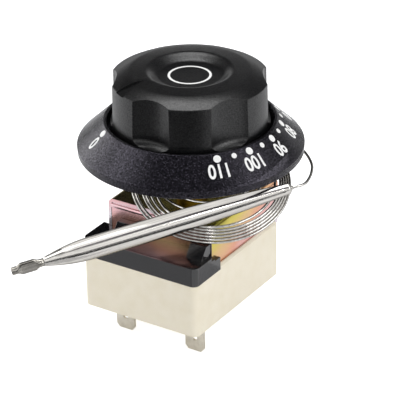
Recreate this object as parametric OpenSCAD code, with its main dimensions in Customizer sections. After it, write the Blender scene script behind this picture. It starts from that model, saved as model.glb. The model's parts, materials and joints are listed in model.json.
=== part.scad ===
// Capillary thermostat of a deep fryer: knob, dial ring, switch case, coiled tube and bulb.
// Millimetres. The origin is on the shaft's axis at the bracket's top face, +Z points to the
// knob, and -Y points to the front of the case, where the contact cover stands.

/* [Bracket] */
// Outside width of the folded steel bracket
bracket_w = 35.2; // [34.6:0.1:38]
// Height of the bracket, from its top face to the feet of its walls
bracket_h = 14.5; // [14:0.1:18]
// Reach of the bracket in front of the shaft
bracket_front = 17; // [17:0.1:18.5]
// Reach of the bracket behind the shaft
bracket_rear = 19; // [18:0.5:24]
// Thickness of the bracket's sheet
bracket_t = 1.0; // [0.8:0.1:1.3]
// Outside radius of the bracket's bends
bend_r = 1.8; // [1.5:0.1:2.5]
// Spacing of the two panel screws
screw_pitch = 28; // [26:0.5:29]
// Radius of the tapped holes for the panel screws
screw_r = 1.65; // [1.3:0.05:2]
// Wall of the drawn collars round the tapped holes
collar_wall = 0.95; // [0.7:0.05:1.2]
// Depth of the drawn collars below the bracket's top face
screw_collar_h = 2.2; // [2:0.1:3]
// Width of each fixing lug under the bracket's walls
lug_w = 4; // [3:0.5:6]
// Length of each fixing lug
lug_h = 3; // [2:0.5:5]

/* [Inner frame] */
// Thickness of the inner frame's sheet
frame_t = 0.8; // [0.6:0.1:1]
// Radius of the rivets that hold frame and bracket together
rivet_r = 1.2; // [0.9:0.1:1.6]
// Radius of the rivets' heads
rivet_head_r = 2.2; // [1.8:0.1:2.6]
// Distance of each rivet from the shaft, along both axes
rivet_xy = 10; // [9.5:0.5:11]
// Radius of the guide post that keeps the capsule from turning
post_r = 1.0; // [0.8:0.1:1.3]
// Distance of the guide post from the shaft
post_y = 12; // [11.7:0.1:12.6]

/* [Cover and housing] */
// Width of the housing's ledge at the bracket's right-hand wall
case_ledge = 1.1; // [1:0.1:2]
// Width of the housing's ledge at the bracket's left-hand wall
left_ledge = 2.3; // [1.2:0.1:3]
// Height of the rims on the ledges, beside the bracket's walls
rim_rise = 1.5; // [1:0.1:2]
// Reach of the case in front of the shaft
case_front = 27.3; // [27:0.1:32]
// Reach of the housing behind the shaft
case_rear = 16.5; // [16.5:0.1:18.5]
// Radius of the case's front corners
corner_r = 2; // [1.5:0.5:5]
// Height of the cover's front block
cover_h = 5.7; // [5.5:0.1:7]
// Wall of the cover
cover_wall = 1.5; // [1.2:0.1:1.8]
// Radius of the boss that guides the push pin
guide_r = 3.5; // [3:0.1:4.5]
// Height of the sloped wedges on the cover
wedge_h = 3.5; // [2:0.1:3.6]
// Height of the housing
housing_h = 16.1; // [14:0.1:18]
// Wall of the housing at its sides
side_wall = 3; // [2.8:0.1:3.4]
// Wall of the housing at its front and rear
end_wall = 2; // [1.6:0.1:2.2]
// Thickness of the housing's floor
floor_t = 2; // [1.6:0.1:2.6]

/* [Terminals and contacts] */
// Width of the spade tabs
tab_w = 6.3; // [4.8:0.1:6.8]
// Thickness of the spade tabs
tab_t = 0.8; // [0.6:0.1:1]
// Length of the spade tabs below the housing
tab_l = 10.6; // [9:0.1:15]
// Radius of the hole in each tab
tab_hole_r = 0.9; // [0.6:0.05:1.2]
// Distance of the two front tabs in front of the shaft
tab_y = 17.8; // [17.8:0.1:18.4]
// Distance of the common terminal behind the shaft, where the blade turns
pivot_y = 11; // [10.5:0.1:12]
// Depth of the spring blade below the cover's lid
blade_drop = 3.35; // [3.2:0.05:4]
// Width of the spring blade
blade_w = 5; // [4:0.1:5.6]
// Thickness of the spring blade
blade_t = 0.35; // [0.2:0.05:0.5]
// Distance of the contacts in front of the shaft
contact_y = 19; // [18.9:0.1:19.4]
// Radius of the contact buttons
contact_r = 1.5; // [1:0.1:1.8]
// Travel of the moving contact between its two fixed contacts
contact_travel = 1.34; // [1.32:0.01:1.6]

/* [Spindle] */
// Radius of the spindle
spindle_r = 3; // [2.8:0.1:3.2]
// Distance across the spindle's flat
flat_across = 4.5; // [4.2:0.1:5]
// Radius of the spindle's collar
collar_r = 4.5; // [4:0.1:5.5]
// Thickness of the spindle's collar
collar_t = 1.2; // [1:0.1:1.5]
// Radius of the spindle's threaded end
thread_r = 2.5; // [2.1:0.1:2.6]
// Radius of the bush's body in the plates
bush_r = 5; // [4.6:0.1:5.4]
// Thickness of the bush's flange below the frame
flange_t = 1.2; // [1:0.1:1.5]
// Height of the bush above the bracket
bush_h = 6; // [4:0.5:8]
// Thickness of the stop washer
stop_t = 0.8; // [0.6:0.1:1]
// Reach of the stop washer's tab
stop_reach = 9; // [8.5:0.1:10]
// Angle through which the spindle turns
turn = 270; // [180:5:300]
// Radius of the calibration screw
calib_r = 1.05; // [0.8:0.05:1.2]

/* [Capsule] */
// Radius of the pressure capsule
capsule_r = 9.5; // [8.5:0.1:9.8]
// Thickness of the capsule's shells
shell_t = 0.4; // [0.3:0.05:0.5]
// Height of each dished shell, without its sheet
dish = 0.7; // [0.5:0.05:0.9]
// Height of the waves pressed into the shells
wave = 0.14; // [0.05:0.01:0.2]
// Height of the carrier nut
nut_h = 3.1; // [2.8:0.1:3.3]
// Size of the carrier nut across its corners
nut_corners = 9; // [8:0.1:10]
// Radius of the push pin
pin_r = 1.5; // [1.2:0.1:2]

/* [Dial ring] */
// Height of the dial ring's lower edge above the bracket
dial_z = 13.4; // [13.4:0.1:18]
// Outer radius of the dial ring
dial_r = 32.5; // [31:0.1:38]
// Height of the upright band at the dial's edge
rim_h = 2.5; // [2:0.1:3.5]
// Height of the whole dial ring
dial_h = 9.6; // [9:0.1:11]
// Wall of the dial ring
dial_wall = 1.6; // [1.2:0.1:2]
// Radius of the well that holds the knob's foot
well_r = 23.9; // [23.7:0.1:24.6]
// Radius of the holes for the panel screws in the dial
dial_hole_r = 2.2; // [2:0.1:2.6]

/* [Knob] */
// Gap between the knob's foot and the wall of the dial's well
knob_gap = 0.9; // [0.5:0.1:2]
// Amount by which the knob's side leans in, from its foot to its shoulder
knob_draft = 0.4; // [0:0.1:1]
// Height of the knob, from its foot to its shoulder
knob_h = 15.1; // [13:0.1:20]
// Rise of the crown above the shoulder
crown = 2.35; // [1.5:0.05:3]
// Radius at which the crown's round edge begins
crest_r = 16.9; // [16:0.1:18.5]
// Radius of the bowl in the knob's top
bowl_r = 12.8; // [11:0.1:14]
// Radius of the bowl's flat floor
bowl_floor_r = 8.8; // [7:0.1:10]
// Depth of the bowl
bowl_d = 1.8; // [1:0.1:2.5]
// Number of finger scoops round the knob
scoops = 6; // [4:1:8]
// Radius of each finger scoop
scoop_r = 14; // [10:0.5:16]
// Depth of each finger scoop below the shoulder's round
scoop_d = 2; // [1:0.1:2.5]
// Height of the lip below the scoops
lip_h = 1.8; // [1:0.1:3]
// Wall of the knob
knob_wall = 1.8; // [1.4:0.1:2.4]
// Radius of the knob's hub
hub_r = 5.5; // [5:0.1:6.5]
// Width of the pointer's groove at the knob's edge
pointer_w = 4.2; // [2:0.1:5]
// Width of the pointer's groove at its inner end
pointer_tip_w = 1; // [0.6:0.1:2]
// Direction of the pointer at rest, seen from above
pointer_az = -117; // [-180:1:180]

/* [Capillary and bulb] */
// Radius of the capillary tube
cap_r = 0.4; // [0.3:0.01:0.4]
// Number of sides that the tube is drawn with
cap_sides = 6; // [6:1:8]
// Radius of the sensing bulb
bulb_r = 3.2; // [2.6:0.1:3.3]
// Length of the bulb's tapered end at the filling tail
tail_taper_l = 13; // [4:0.5:20]
// Length over which the bulb is drawn down toward the capillary
draw_l = 28; // [10:1:32]
// Radius of the bulb at the small end of that length
draw_r = 1.7; // [1.5:0.1:2.6]
// Length of the rounded end at the capillary
taper_l = 2; // [1:0.1:4]
// Length of the crimped filling tail
tail_l = 9.5; // [7:0.5:14]
// Radius of the filling tail
tail_r = 1.15; // [0.9:0.05:1.4]

/* [Hidden] */
$fn = 64;

// Small gaps: a running fit, a loose fit and the overlap that makes a cut go right through
run_gap = 0.05;
fit_gap = 0.1;
eps = 0.5;

// Levels of the bracket's group, from the top down
frame_top = -bracket_t;
frame_under = frame_top - frame_t;
flange_under = frame_under - flange_t;
collar_top = flange_under - fit_gap;
collar_under = collar_top - collar_t;
stop_under = collar_under - stop_t;
nut_top = stop_under - 0.8;
nut_under = nut_top - nut_h;
seam_z = nut_under - dish - shell_t;
button_top = seam_z - dish - shell_t;
button_h = 0.7;
pin_top = button_top - button_h - run_gap;

// Levels of the case
case_top = -bracket_h;
block_top = case_top + cover_h;
case_bottom = case_top - housing_h;
floor_top = case_bottom + floor_t;
tab_tip = case_bottom - tab_l;
blade_top = case_top - blade_drop;
blade_under = blade_top - blade_t;

// Shoulders of the tabs on the housing's floor
shoulder_w = 0.45;

// Levels of the contacts
moving_top = blade_top + 0.55;
moving_under = blade_under - 0.6;
upper_face = moving_top + contact_travel;
lower_face = moving_under - run_gap;
upper_arm = upper_face + 1.06;
lower_arm = lower_face - 0.65 - tab_t;

// Plan sizes of the bracket and the case
wall_x = bracket_w / 2;
inner_x = wall_x - bracket_t;
frame_x = inner_x - 2 * fit_gap;
case_right = wall_x + case_ledge;
case_left = wall_x + left_ledge;
cavity_x = case_right - side_wall;
tab_x = cavity_x - tab_w / 2 - shoulder_w - fit_gap;
block_rear = bracket_front + fit_gap;
bridge_rear = bracket_front - 1.4;
cheek_rear = bracket_front - 2.8;
left_cheek_rear = bracket_front - 0.8;
lug_y = [-6, 11];
wedge_x = [[-13, 5], [12, 5.3]];

// Spindle, stop and knob
spindle_top = knob_z() + 8.5;
flat_z = knob_z() - 2.5;
stop_tab_w = 3;
stop_lug_in = bush_r + 1.8;
stop_lug_out = stop_lug_in + 1;
stop_az = 45;
tab_half = asin(stop_tab_w / 2 / stop_lug_in);
stop_lug_span = 360 - turn - 2 * tab_half - 0.4;
clip_z = bush_h + 0.15;
clip_t = 0.6;
calib_z = spindle_top - 8;

// Dial ring and knob
well_floor = dial_z + 6.1;
well_under = well_floor - dial_wall;
dial_top = dial_z + dial_h;
knob_foot = knob_z();
knob_r = well_r - knob_gap;
shoulder_r = knob_r - knob_draft;
knob_shoulder = knob_foot + knob_h;
knob_crest = knob_shoulder + crown;
bowl_floor = knob_crest - bowl_d;
scoop_at = shoulder_r - scoop_d + scoop_r;
scoop_az = 360 / scoops;
// Round of the crown's edge, and the small round where it meets the side
crown_r = (pow(shoulder_r - crest_r, 2) + crown * crown) / (2 * crown);
side_round = 0.4;
crown_az = asin((shoulder_r - side_round - crest_r) / (crown_r - side_round));

// Bulb's axis, from its filling end to its capillary end
bulb_left = [-18.53, -47.51, -6.96];
bulb_right = [35.8, -4.5, 11.7];
bulb_run = bulb_right - bulb_left;
bulb_l = norm(bulb_run);
bulb_dir = bulb_run / bulb_l;
bulb_neck_r = 1.3;

// Capillary: by hand from the capsule's nipple out of the bracket's rear and up, then the
// coil, then by hand round the right-hand side into the bulb's end
lead_in = [[0, 10.2, seam_z], [0, 13, seam_z], [0, 16, seam_z + 0.1], [-1.5, 19.2, seam_z + 0.6],
           [-6, 22, -6.5], [-9.5, 21.8, -1], [-8.5, 17.6, 3], [-6, 12.6, 4.6], [-2, 10.6, 6],
           [2.5, 10.6, 8]];
lead_out = [[19.5, 23, 11], [27.6, 17.4, 11.5], [33.1, 11.8, 11.7], [35.9, 7, 11.8],
            [37.6, 2.4, 11.9], [38.1, -1, 12], [37.2, -3.3, 12.1], bulb_right - 0.5 * bulb_dir];
// Coil by turns: the turn, the loop's radius, its centre and its tilt
coil_keys = [[0, 10.5, [5.9, 1.5, 9.1], 9.9], [3, 13.8, [6.5, 0.5, 5.3], 11.4],
             [4.4, 18.4, [9.5, -2.8, 6.1], 17.3], [10, 22.5, [7.3, 0.3, 3.9], 24]];
coil_start = 80;
coil_low_side = -55;
coil_step = 10;
coil_turns = 10;

function knob_z() = dial_z + 7.1;

function blend(a, b, s) = a + (b - a) * s;

// Place on the coil after a number of turns, clockwise seen from above
function coil_key(turn_at) = turn_at <= coil_keys[1][0] ? 0 : turn_at <= coil_keys[2][0] ? 1 : 2;
function coil_point(turn_at) =
    let (k = coil_key(turn_at), a = coil_keys[k], b = coil_keys[k + 1],
         s = (turn_at - a[0]) / (b[0] - a[0]),
         r = blend(a[1], b[1], s), c = blend(a[2], b[2], s), tilt = blend(a[3], b[3], s),
         phi = coil_start - 360 * turn_at - coil_low_side,
         down = [cos(coil_low_side) * cos(tilt), sin(coil_low_side) * cos(tilt), -sin(tilt)],
         level = [-sin(coil_low_side), cos(coil_low_side), 0])
    c + r * (cos(phi) * down + sin(phi) * level);

// Smooth curve through hand-set points (Catmull-Rom), four steps a span
function spline(p, steps = 4) = [
    for (i = [0:len(p) - 2]) let (a = p[max(i - 1, 0)], b = p[i], c = p[i + 1],
                                  d = p[min(i + 2, len(p) - 1)])
        for (k = [0:steps - 1]) let (t = k / steps)
            0.5 * (2 * b + (c - a) * t + (2 * a - 5 * b + 4 * c - d) * t * t
                   + (3 * b - a - 3 * c + d) * t * t * t)];

coil_count = coil_turns * 360 / coil_step;
coil = [for (i = [0:coil_count]) coil_point(i * coil_step / 360)];
route_in = spline(concat(lead_in, [coil[0], coil[1], coil[2]]));
route_out = spline(concat([coil[coil_count - 2], coil[coil_count - 1], coil[coil_count]],
                          lead_out));
route = concat(route_in, [for (i = [3:coil_count - 3]) coil[i]], route_out,
               [lead_out[len(lead_out) - 1]]);

// Cross-section frames carried along the route without twist
function unit(v) = v / norm(v);
function along(p, i) = unit(p[min(i + 1, len(p) - 1)] - p[max(i - 1, 0)]);
function carried(side, dir) = unit(side - (side * dir) * dir);

// Tube of radius r swept along the points p
module swept_tube(p, r, sides) {
    sides_of = [for (i = 0, s = carried([1, 0, 0], along(p, 0)); i < len(p);
                     i = i + 1, s = carried(s, along(p, min(i, len(p) - 1)))) s];
    rings = [for (i = [0:len(p) - 1]) let (u = sides_of[i], v = cross(along(p, i), u))
        for (k = [0:sides - 1]) p[i] + r * (cos(k * 360 / sides) * u + sin(k * 360 / sides) * v)];
    last = (len(p) - 1) * sides;
    polyhedron(points = rings, faces = concat(
        [[for (k = [sides - 1:-1:0]) k]],
        [for (i = [0:len(p) - 2]) for (k = [0:sides - 1]) let (n = (k + 1) % sides)
            [i * sides + k, i * sides + n, (i + 1) * sides + n, (i + 1) * sides + k]],
        [[for (k = [0:sides - 1]) last + k]]));
}

// Plan of the case with its two round front corners, back to a given y
module case_plan(rear) {
    translate([-case_left, -case_front + corner_r])
        square([case_left + case_right, case_front - corner_r + rear]);
    translate([-case_left + corner_r, -case_front])
        square([case_left + case_right - 2 * corner_r, corner_r + 0.1]);
    for (x = [-case_left + corner_r, case_right - corner_r])
        translate([x, -case_front + corner_r]) circle(corner_r);
}

// Box given by its two corners
module block(low, high) {
    translate(low) cube(high - low);
}

// Sheet that stands across the case at a given y, drawn in x and z
module sheet_across(y, t) {
    translate([0, y + t / 2, 0]) rotate([90, 0, 0]) linear_extrude(t) children();
}

// Solid drawn in y and z and drawn out to a half width on both sides of a given x
module profile_along_x(x, half) {
    translate([x - half, 0, 0]) rotate([90, 0, 90]) linear_extrude(2 * half) children();
}

// Solid drawn in x and z and drawn out to a half width on both sides of y = 0
module profile_across_y(half) {
    translate([0, half, 0]) rotate([90, 0, 0]) linear_extrude(2 * half) children();
}

module housing() {
    color("#E6DFCE") difference() {
        union() {
            difference() {
                translate([0, 0, case_bottom]) linear_extrude(housing_h) case_plan(case_rear);
                block([-cavity_x, -case_front + end_wall, floor_top],
                      [cavity_x, case_rear - end_wall, case_top + eps]);
            }
            // Rims beside the bracket's walls, behind the cover's cheeks
            for (e = [[1, case_ledge], [-1, left_ledge]])
                translate([0, case_rear, 0]) rotate([90, 0, 0])
                    linear_extrude(case_rear + cheek_rear - fit_gap) polygon([
                        [e[0] * (wall_x + fit_gap), case_top - 0.1],
                        [e[0] * (wall_x + e[1]), case_top - 0.1],
                        [e[0] * (wall_x + e[1]), case_top + rim_rise - 0.6],
                        [e[0] * (wall_x + e[1] - 0.6), case_top + rim_rise],
                        [e[0] * (wall_x + fit_gap), case_top + rim_rise]]);
            // Posts that back the two front terminals
            for (s = [-1, 1]) translate([s * tab_x, 0, 0])
                block([-2.5, -tab_y + tab_t / 2 + fit_gap, floor_top - 0.1],
                      [2.5, -tab_y + tab_t / 2 + fit_gap + 1.4, lower_arm]);
            // Posts beside the common terminal
            for (s = [-1, 1]) translate([s * (tab_w / 2 + 1.85), 0, 0])
                block([-0.75, pivot_y - 1.4, floor_top - 0.1], [0.75, pivot_y + 1.4, floor_top + 5]);
        }
        // Slots for the three tabs
        for (p = [[-tab_x, -tab_y], [tab_x, -tab_y], [0, pivot_y]]) translate([p[0], p[1], 0])
            block([-tab_w / 2 - run_gap, -tab_t / 2 - run_gap, case_bottom - eps],
                  [tab_w / 2 + run_gap, tab_t / 2 + run_gap, floor_top + eps]);
        // Pockets for the bracket's lugs
        for (s = [-1, 1]) for (y = lug_y) translate([s * (wall_x - bracket_t / 2), y, 0])
            block([-bracket_t / 2 - fit_gap, -lug_w / 2 - fit_gap, case_top - lug_h - 2 * fit_gap],
                  [bracket_t / 2 + fit_gap, lug_w / 2 + fit_gap, case_top + eps]);
    }
}

module cover() {
    color("#2A2A2C") difference() {
        union() {
            translate([0, 0, case_top]) linear_extrude(cover_h) case_plan(-block_rear);
            block([-frame_x, -block_rear - 0.1, case_top], [frame_x, -bridge_rear, block_top]);
            block([-frame_x, -bridge_rear - 0.1, case_top],
                  [frame_x, case_rear - 2 * fit_gap, case_top + cover_wall]);
            // Cheeks that clasp the bracket's walls
            for (e = [[-case_left, -wall_x - fit_gap, left_cheek_rear, block_top],
                      [wall_x + fit_gap, case_right, cheek_rear, block_top - 1.6]])
                block([e[0], -block_rear - 0.1, case_top], [e[1], -e[2], e[3]]);
            // Boss that guides the push pin
            translate([0, 0, case_top - cover_wall]) cylinder(h = cover_wall + 0.1, r = guide_r);
            // Sloped wedges in front of the frame's end wall
            for (w = wedge_x) profile_along_x(w[0] + w[1] / 2, w[1] / 2)
                polygon([[-bracket_front - 5, block_top - 0.1], [-bracket_front - 5, block_top],
                         [-bracket_front - 2.4, block_top + wedge_h],
                         [-block_rear, block_top + wedge_h], [-block_rear, block_top - 0.1]]);
        }
        // Contact chamber under the front block
        block([-cavity_x, -case_front + end_wall, case_top - eps],
              [cavity_x, -block_rear, block_top - cover_wall]);
        translate([0, 0, case_top - cover_wall - eps])
            cylinder(h = 2 * cover_wall + 2 * eps, r = pin_r + run_gap);
        // Notch over the right-hand cheek
        translate([case_right, 0, 0])
            block([-1.6, -bracket_front - 1.8, block_top - 1], [1.6, -bracket_front + 0.5, block_top + eps]);
    }
}

// Section of a channel with round bends: half width, depth and outside radius
module channel_section(half, top, r) {
    translate([-half, -bracket_h]) square([2 * half, bracket_h + top - r]);
    translate([-half + r, -bracket_h]) square([2 * (half - r), bracket_h + top]);
    for (s = [-1, 1]) translate([s * (half - r), top - r]) circle(r);
}

module bracket() {
    color("#D9C27A") difference() {
        union() {
            translate([0, bracket_rear, 0]) rotate([90, 0, 0])
                linear_extrude(bracket_front + bracket_rear) difference() {
                    channel_section(wall_x, 0, bend_r);
                    channel_section(inner_x, -bracket_t, bend_r - bracket_t);
                    translate([-inner_x, -bracket_h - eps]) square([2 * inner_x, 2 * eps]);
                }
            for (s = [-1, 1]) translate([s * screw_pitch / 2, 0, -screw_collar_h])
                cylinder(h = screw_collar_h - 0.1, r = screw_r + collar_wall);
            for (s = [-1, 1]) for (y = lug_y)
                translate([s * (wall_x - bracket_t / 2), y, 0])
                    block([-bracket_t / 2, -lug_w / 2, case_top - lug_h],
                          [bracket_t / 2, lug_w / 2, case_top + 0.1]);
        }
        for (s = [-1, 1]) translate([s * screw_pitch / 2, 0, -screw_collar_h - eps])
            cylinder(h = screw_collar_h + 2 * eps, r = screw_r);
        translate([0, 0, -bracket_t - eps]) cylinder(h = bracket_t + 2 * eps, r = bush_r + run_gap);
        rivet_places() translate([0, 0, -bracket_t - eps])
            cylinder(h = bracket_t + 2 * eps, r = rivet_r + run_gap);
    }
}

module rivet_places() {
    for (s = [-1, 1]) translate([s * rivet_xy, rivet_xy, 0]) children();
}

module inner_frame() {
    front = -bracket_front;
    color("#C9B25E") difference() {
        union() {
            // Top plate, beaded front edge and the end wall that stands on the cover, with
            // the upper corners rounded to lie in the bracket's bends
            intersection() {
                translate([0, bracket_rear, 0]) rotate([90, 0, 0])
                    linear_extrude(bracket_front + bracket_rear + 1)
                        channel_section(frame_x, frame_top, bend_r - bracket_t);
                profile_along_x(0, frame_x)
                    polygon([[bracket_rear - 2, frame_top], [front + 0.1, frame_top],
                             [front + 0.1, frame_top - 0.4], [front - 0.3, frame_top - 0.5],
                             [front - 0.5, frame_top - 0.9], [front - 0.4, frame_top - 1.5],
                             [front, frame_top - 1.6], [front, block_top],
                             [front + frame_t, block_top], [front + frame_t, frame_under],
                             [bracket_rear - 2, frame_under]]);
            }
            // Lug that ends the spindle's turn both ways
            translate([0, 0, stop_under - fit_gap]) rotate([0, 0, stop_az + tab_half + 0.2])
                linear_extrude(frame_under - stop_under + 2 * fit_gap) sector_ring();
        }
        translate([0, 0, frame_under - eps]) cylinder(h = frame_t + 2 * eps, r = bush_r + run_gap);
        for (s = [-1, 1]) translate([s * screw_pitch / 2, 0, frame_under - eps])
            cylinder(h = frame_t + 2 * eps, r = screw_r + collar_wall + fit_gap);
        rivet_places() translate([0, 0, frame_under - eps])
            cylinder(h = frame_t + 2 * eps, r = rivet_r + run_gap);
    }
}

module sector_ring() {
    far = 2 * stop_lug_out;
    intersection() {
        difference() {
            circle(stop_lug_out);
            circle(stop_lug_in);
        }
        polygon([[0, 0], [far, 0], [far * cos(stop_lug_span / 2), far * sin(stop_lug_span / 2)],
                 [far * cos(stop_lug_span), far * sin(stop_lug_span)]]);
    }
}

module frame_rivets() {
    color("#C8C4B8") rivet_places() translate([0, 0, frame_under]) rotate_extrude()
        polygon([[0, -0.6], [rivet_head_r - 0.5, -0.6], [rivet_head_r, -0.1], [rivet_head_r, 0],
                 [rivet_r, 0], [rivet_r, bracket_t + frame_t], [rivet_head_r, bracket_t + frame_t],
                 [rivet_head_r, bracket_t + frame_t + 0.1],
                 [rivet_head_r - 0.5, bracket_t + frame_t + 0.6], [0, bracket_t + frame_t + 0.6]]);
}

module guide_post() {
    length = frame_under - seam_z + 2.2;
    color("#B9B9B4") translate([0, -post_y, frame_under - length]) rotate_extrude()
        polygon([[0, 0], [post_r - 0.3, 0], [post_r, 0.3], [post_r, length], [0, length]]);
}

module spindle_bush() {
    color("#C9A64B") rotate_extrude() polygon([
        [spindle_r + run_gap, flange_under], [bush_r + 1.5, flange_under], [bush_r + 1.5, frame_under],
        [bush_r, frame_under], [bush_r, 0], [bush_r + 0.8, 0], [bush_r + 0.8, 0.5],
        [bush_r + 0.5, 0.8], [bush_r - 0.5, 0.8], [bush_r - 0.5, bush_h - 0.3],
        [bush_r - 0.8, bush_h], [spindle_r + run_gap, bush_h]]);
}

module spindle() {
    color("#AFAFAA") difference() {
        rotate_extrude() polygon([
            [0, nut_top - 2.1], [thread_r - 0.4, nut_top - 2.1], [thread_r, nut_top - 1.7],
            [thread_r, collar_under], [collar_r, collar_under], [collar_r, collar_top],
            [spindle_r, collar_top], [spindle_r, clip_z - run_gap],
            [spindle_r - 0.5, clip_z - run_gap], [spindle_r - 0.5, clip_z + clip_t + run_gap],
            [spindle_r, clip_z + clip_t + run_gap], [spindle_r, spindle_top - 0.4],
            [spindle_r - 0.4, spindle_top], [0, spindle_top]]);
        rotate([0, 0, pointer_az]) translate([flat_across - spindle_r, -spindle_r - eps, flat_z])
            cube([spindle_r, 2 * spindle_r + 2 * eps, spindle_top - flat_z + eps]);
        translate([0, 0, calib_z]) cylinder(h = spindle_top - calib_z + eps, r = calib_r + run_gap);
    }
}

module retaining_clip() {
    color("#8E8E8A") translate([0, 0, clip_z]) linear_extrude(clip_t) difference() {
        circle(spindle_r + 2);
        circle(spindle_r - 0.5);
        translate([0, -spindle_r + 0.9]) square([2 * spindle_r + 4, 2 * spindle_r - 1.8]);
    }
}

module stop_washer() {
    color("#A8A8A2") translate([0, 0, stop_under]) linear_extrude(stop_t) difference() {
        union() {
            circle(thread_r + 3);
            rotate([0, 0, stop_az]) translate([0, -stop_tab_w / 2]) square([stop_reach, stop_tab_w]);
        }
        circle(thread_r + run_gap);
    }
}

module calibration_screw() {
    color("#B08D3C") translate([0, 0, calib_z]) difference() {
        cylinder(h = 4, r = calib_r);
        translate([-calib_r - eps, -0.2, 3.3]) cube([2 * calib_r + 2 * eps, 0.4, 1 + eps]);
    }
}

module carrier_nut() {
    color("#C2A047") difference() {
        translate([0, 0, nut_under]) cylinder(h = nut_h, r = nut_corners / 2, $fn = 6);
        translate([0, 0, nut_under + 0.4]) cylinder(h = nut_h + eps, r = thread_r + run_gap);
    }
}

// Middle height of a dished shell over its rim: waves between a flat seat and a flat rim
shell_seat = 4.6;
shell_rim = capsule_r - 1.1;
function shell_rise(r) = r <= shell_seat ? dish : r >= shell_rim ? 0
    : dish * (shell_rim - r) / (shell_rim - shell_seat)
      + wave * (1 - cos(720 * (r - shell_seat) / (shell_rim - shell_seat)));
shell_radii = concat([0], [for (i = [0:10]) shell_seat + (shell_rim - shell_seat) * i / 10],
                     [capsule_r]);

// Dished shell with its rim's inner face at level 0, rising
module dished_shell() {
    n = len(shell_radii);
    rotate_extrude() polygon(concat(
        [for (r = shell_radii) [r, shell_rise(r)]],
        [for (i = [n - 1:-1:0]) [shell_radii[i], shell_rise(shell_radii[i]) + shell_t]]));
}

module capsule_upper_shell() {
    ear_w = 2 * post_r + 2;
    color("#BFC1C2") difference() {
        union() {
            translate([0, 0, seam_z]) dished_shell();
            translate([-ear_w / 2, -post_y - ear_w / 2, seam_z])
                cube([ear_w, post_y + ear_w / 2 - capsule_r + 0.8, shell_t]);
        }
        translate([0, -post_y, seam_z - eps]) cylinder(h = shell_t + 2 * eps, r = post_r + 0.08);
    }
}

module capsule_lower_shell() {
    color("#C8CACB") translate([0, 0, seam_z]) mirror([0, 0, 1]) dished_shell();
}

module capsule_nipple() {
    color("#B5B7B8") translate([0, 0, seam_z]) difference() {
        translate([0, capsule_r + 3, 0]) rotate([90, 0, 0]) cylinder(h = 3.6, r = 1.5);
        translate([0, capsule_r + 3 + eps, 0]) rotate([90, 0, 0]) cylinder(h = 6, r = 1);
        translate([0, 0, -3]) cylinder(h = 6, r = capsule_r);
    }
}

module pressure_button() {
    color("#D8D4C8") translate([0, 0, button_top - button_h]) rotate_extrude()
        polygon([[0, 0], [1.8, 0], [2.2, 0.3], [2.2, button_h], [0, button_h]]);
}

module push_pin() {
    length = pin_top - blade_top - run_gap;
    color("#F0EDE4") translate([0, 0, blade_top + run_gap]) rotate_extrude()
        polygon([[0, 0], [pin_r - 0.9, 0], [pin_r, 0.4], [pin_r, length - 0.3],
                 [pin_r - 0.3, length], [0, length]]);
}

module contact_blade() {
    slot = [1.6, 2.6, -contact_y + 5, -contact_y + 15];
    color("#C28B45") {
        difference() {
            block([-blade_w / 2, -contact_y - 1.5, blade_under], [blade_w / 2, pivot_y + 1.5, blade_top]);
            translate([0, 0, blade_under - eps]) linear_extrude(blade_t + 2 * eps)
                translate([-1.3, slot[2]]) square([2.6, slot[3] - slot[2]]);
            translate([0, -contact_y, blade_under - eps])
                cylinder(h = blade_t + 2 * eps, r = 0.7 + run_gap);
        }
        // Round rib across the blade, on which it rocks in the terminal's window
        translate([-blade_w / 2, pivot_y, (blade_top + blade_under) / 2]) rotate([0, 90, 0])
            cylinder(h = blade_w, r = 0.45);
        // Bowed tongue that makes the blade snap over
        profile_along_x(0, 0.9) polygon(concat(
            [for (i = [0:10]) [slot[2] - 0.1 + i * 0.9, blade_top - 1.4 * sin(i * 18)]],
            [for (i = [10:-1:0]) [slot[2] - 0.1 + i * 0.9, blade_under - 1.4 * sin(i * 18)]]));
    }
}

module moving_contact() {
    color("#DEDCD4") translate([0, -contact_y, 0]) rotate_extrude() polygon([
        [0, moving_under], [contact_r, moving_under], [contact_r, blade_under], [0.7, blade_under],
        [0.7, blade_top], [contact_r, blade_top], [contact_r, moving_top], [0, moving_top]]);
}

// Spade tab and its shoulder, in x and z round x = 0
module tab_outline() {
    half = tab_w / 2;
    polygon([[-half, floor_top], [-half, tab_tip + 1.2], [-half + 1, tab_tip], [half - 1, tab_tip],
             [half, tab_tip + 1.2], [half, floor_top], [half + shoulder_w, floor_top],
             [half + shoulder_w, floor_top + 2], [-half - shoulder_w, floor_top + 2],
             [-half - shoulder_w, floor_top]]);
}

module tab_sheet(x, y, top, strip_w) {
    difference() {
        union() {
            sheet_across(y, tab_t) translate([x, 0]) tab_outline();
            translate([x, y, 0]) block([-strip_w / 2, -tab_t / 2, floor_top + 1.9],
                                       [strip_w / 2, tab_t / 2, top]);
        }
        translate([x, y + tab_t, tab_tip + 4.2]) rotate([90, 0, 0])
            cylinder(h = 2 * tab_t, r = tab_hole_r);
    }
}

module terminal_common() {
    color("#D4CFC5") difference() {
        tab_sheet(0, pivot_y, blade_top + 2, tab_w + 2);
        block([-blade_w / 2 - 0.2, pivot_y - tab_t, blade_under - 0.4],
              [blade_w / 2 + 0.2, pivot_y + tab_t, blade_top + 0.4]);
    }
}

module terminal_left() {
    color("#D4CFC5") difference() {
        union() {
            tab_sheet(-tab_x, -tab_y, upper_arm + tab_t, 5);
            block([-tab_x - 2.5, -contact_y - 2, upper_arm],
                  [1.5, -tab_y + tab_t / 2, upper_arm + tab_t]);
        }
        translate([0, -contact_y, upper_arm - eps]) cylinder(h = tab_t + 2 * eps, r = 0.8 + run_gap);
    }
}

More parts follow.
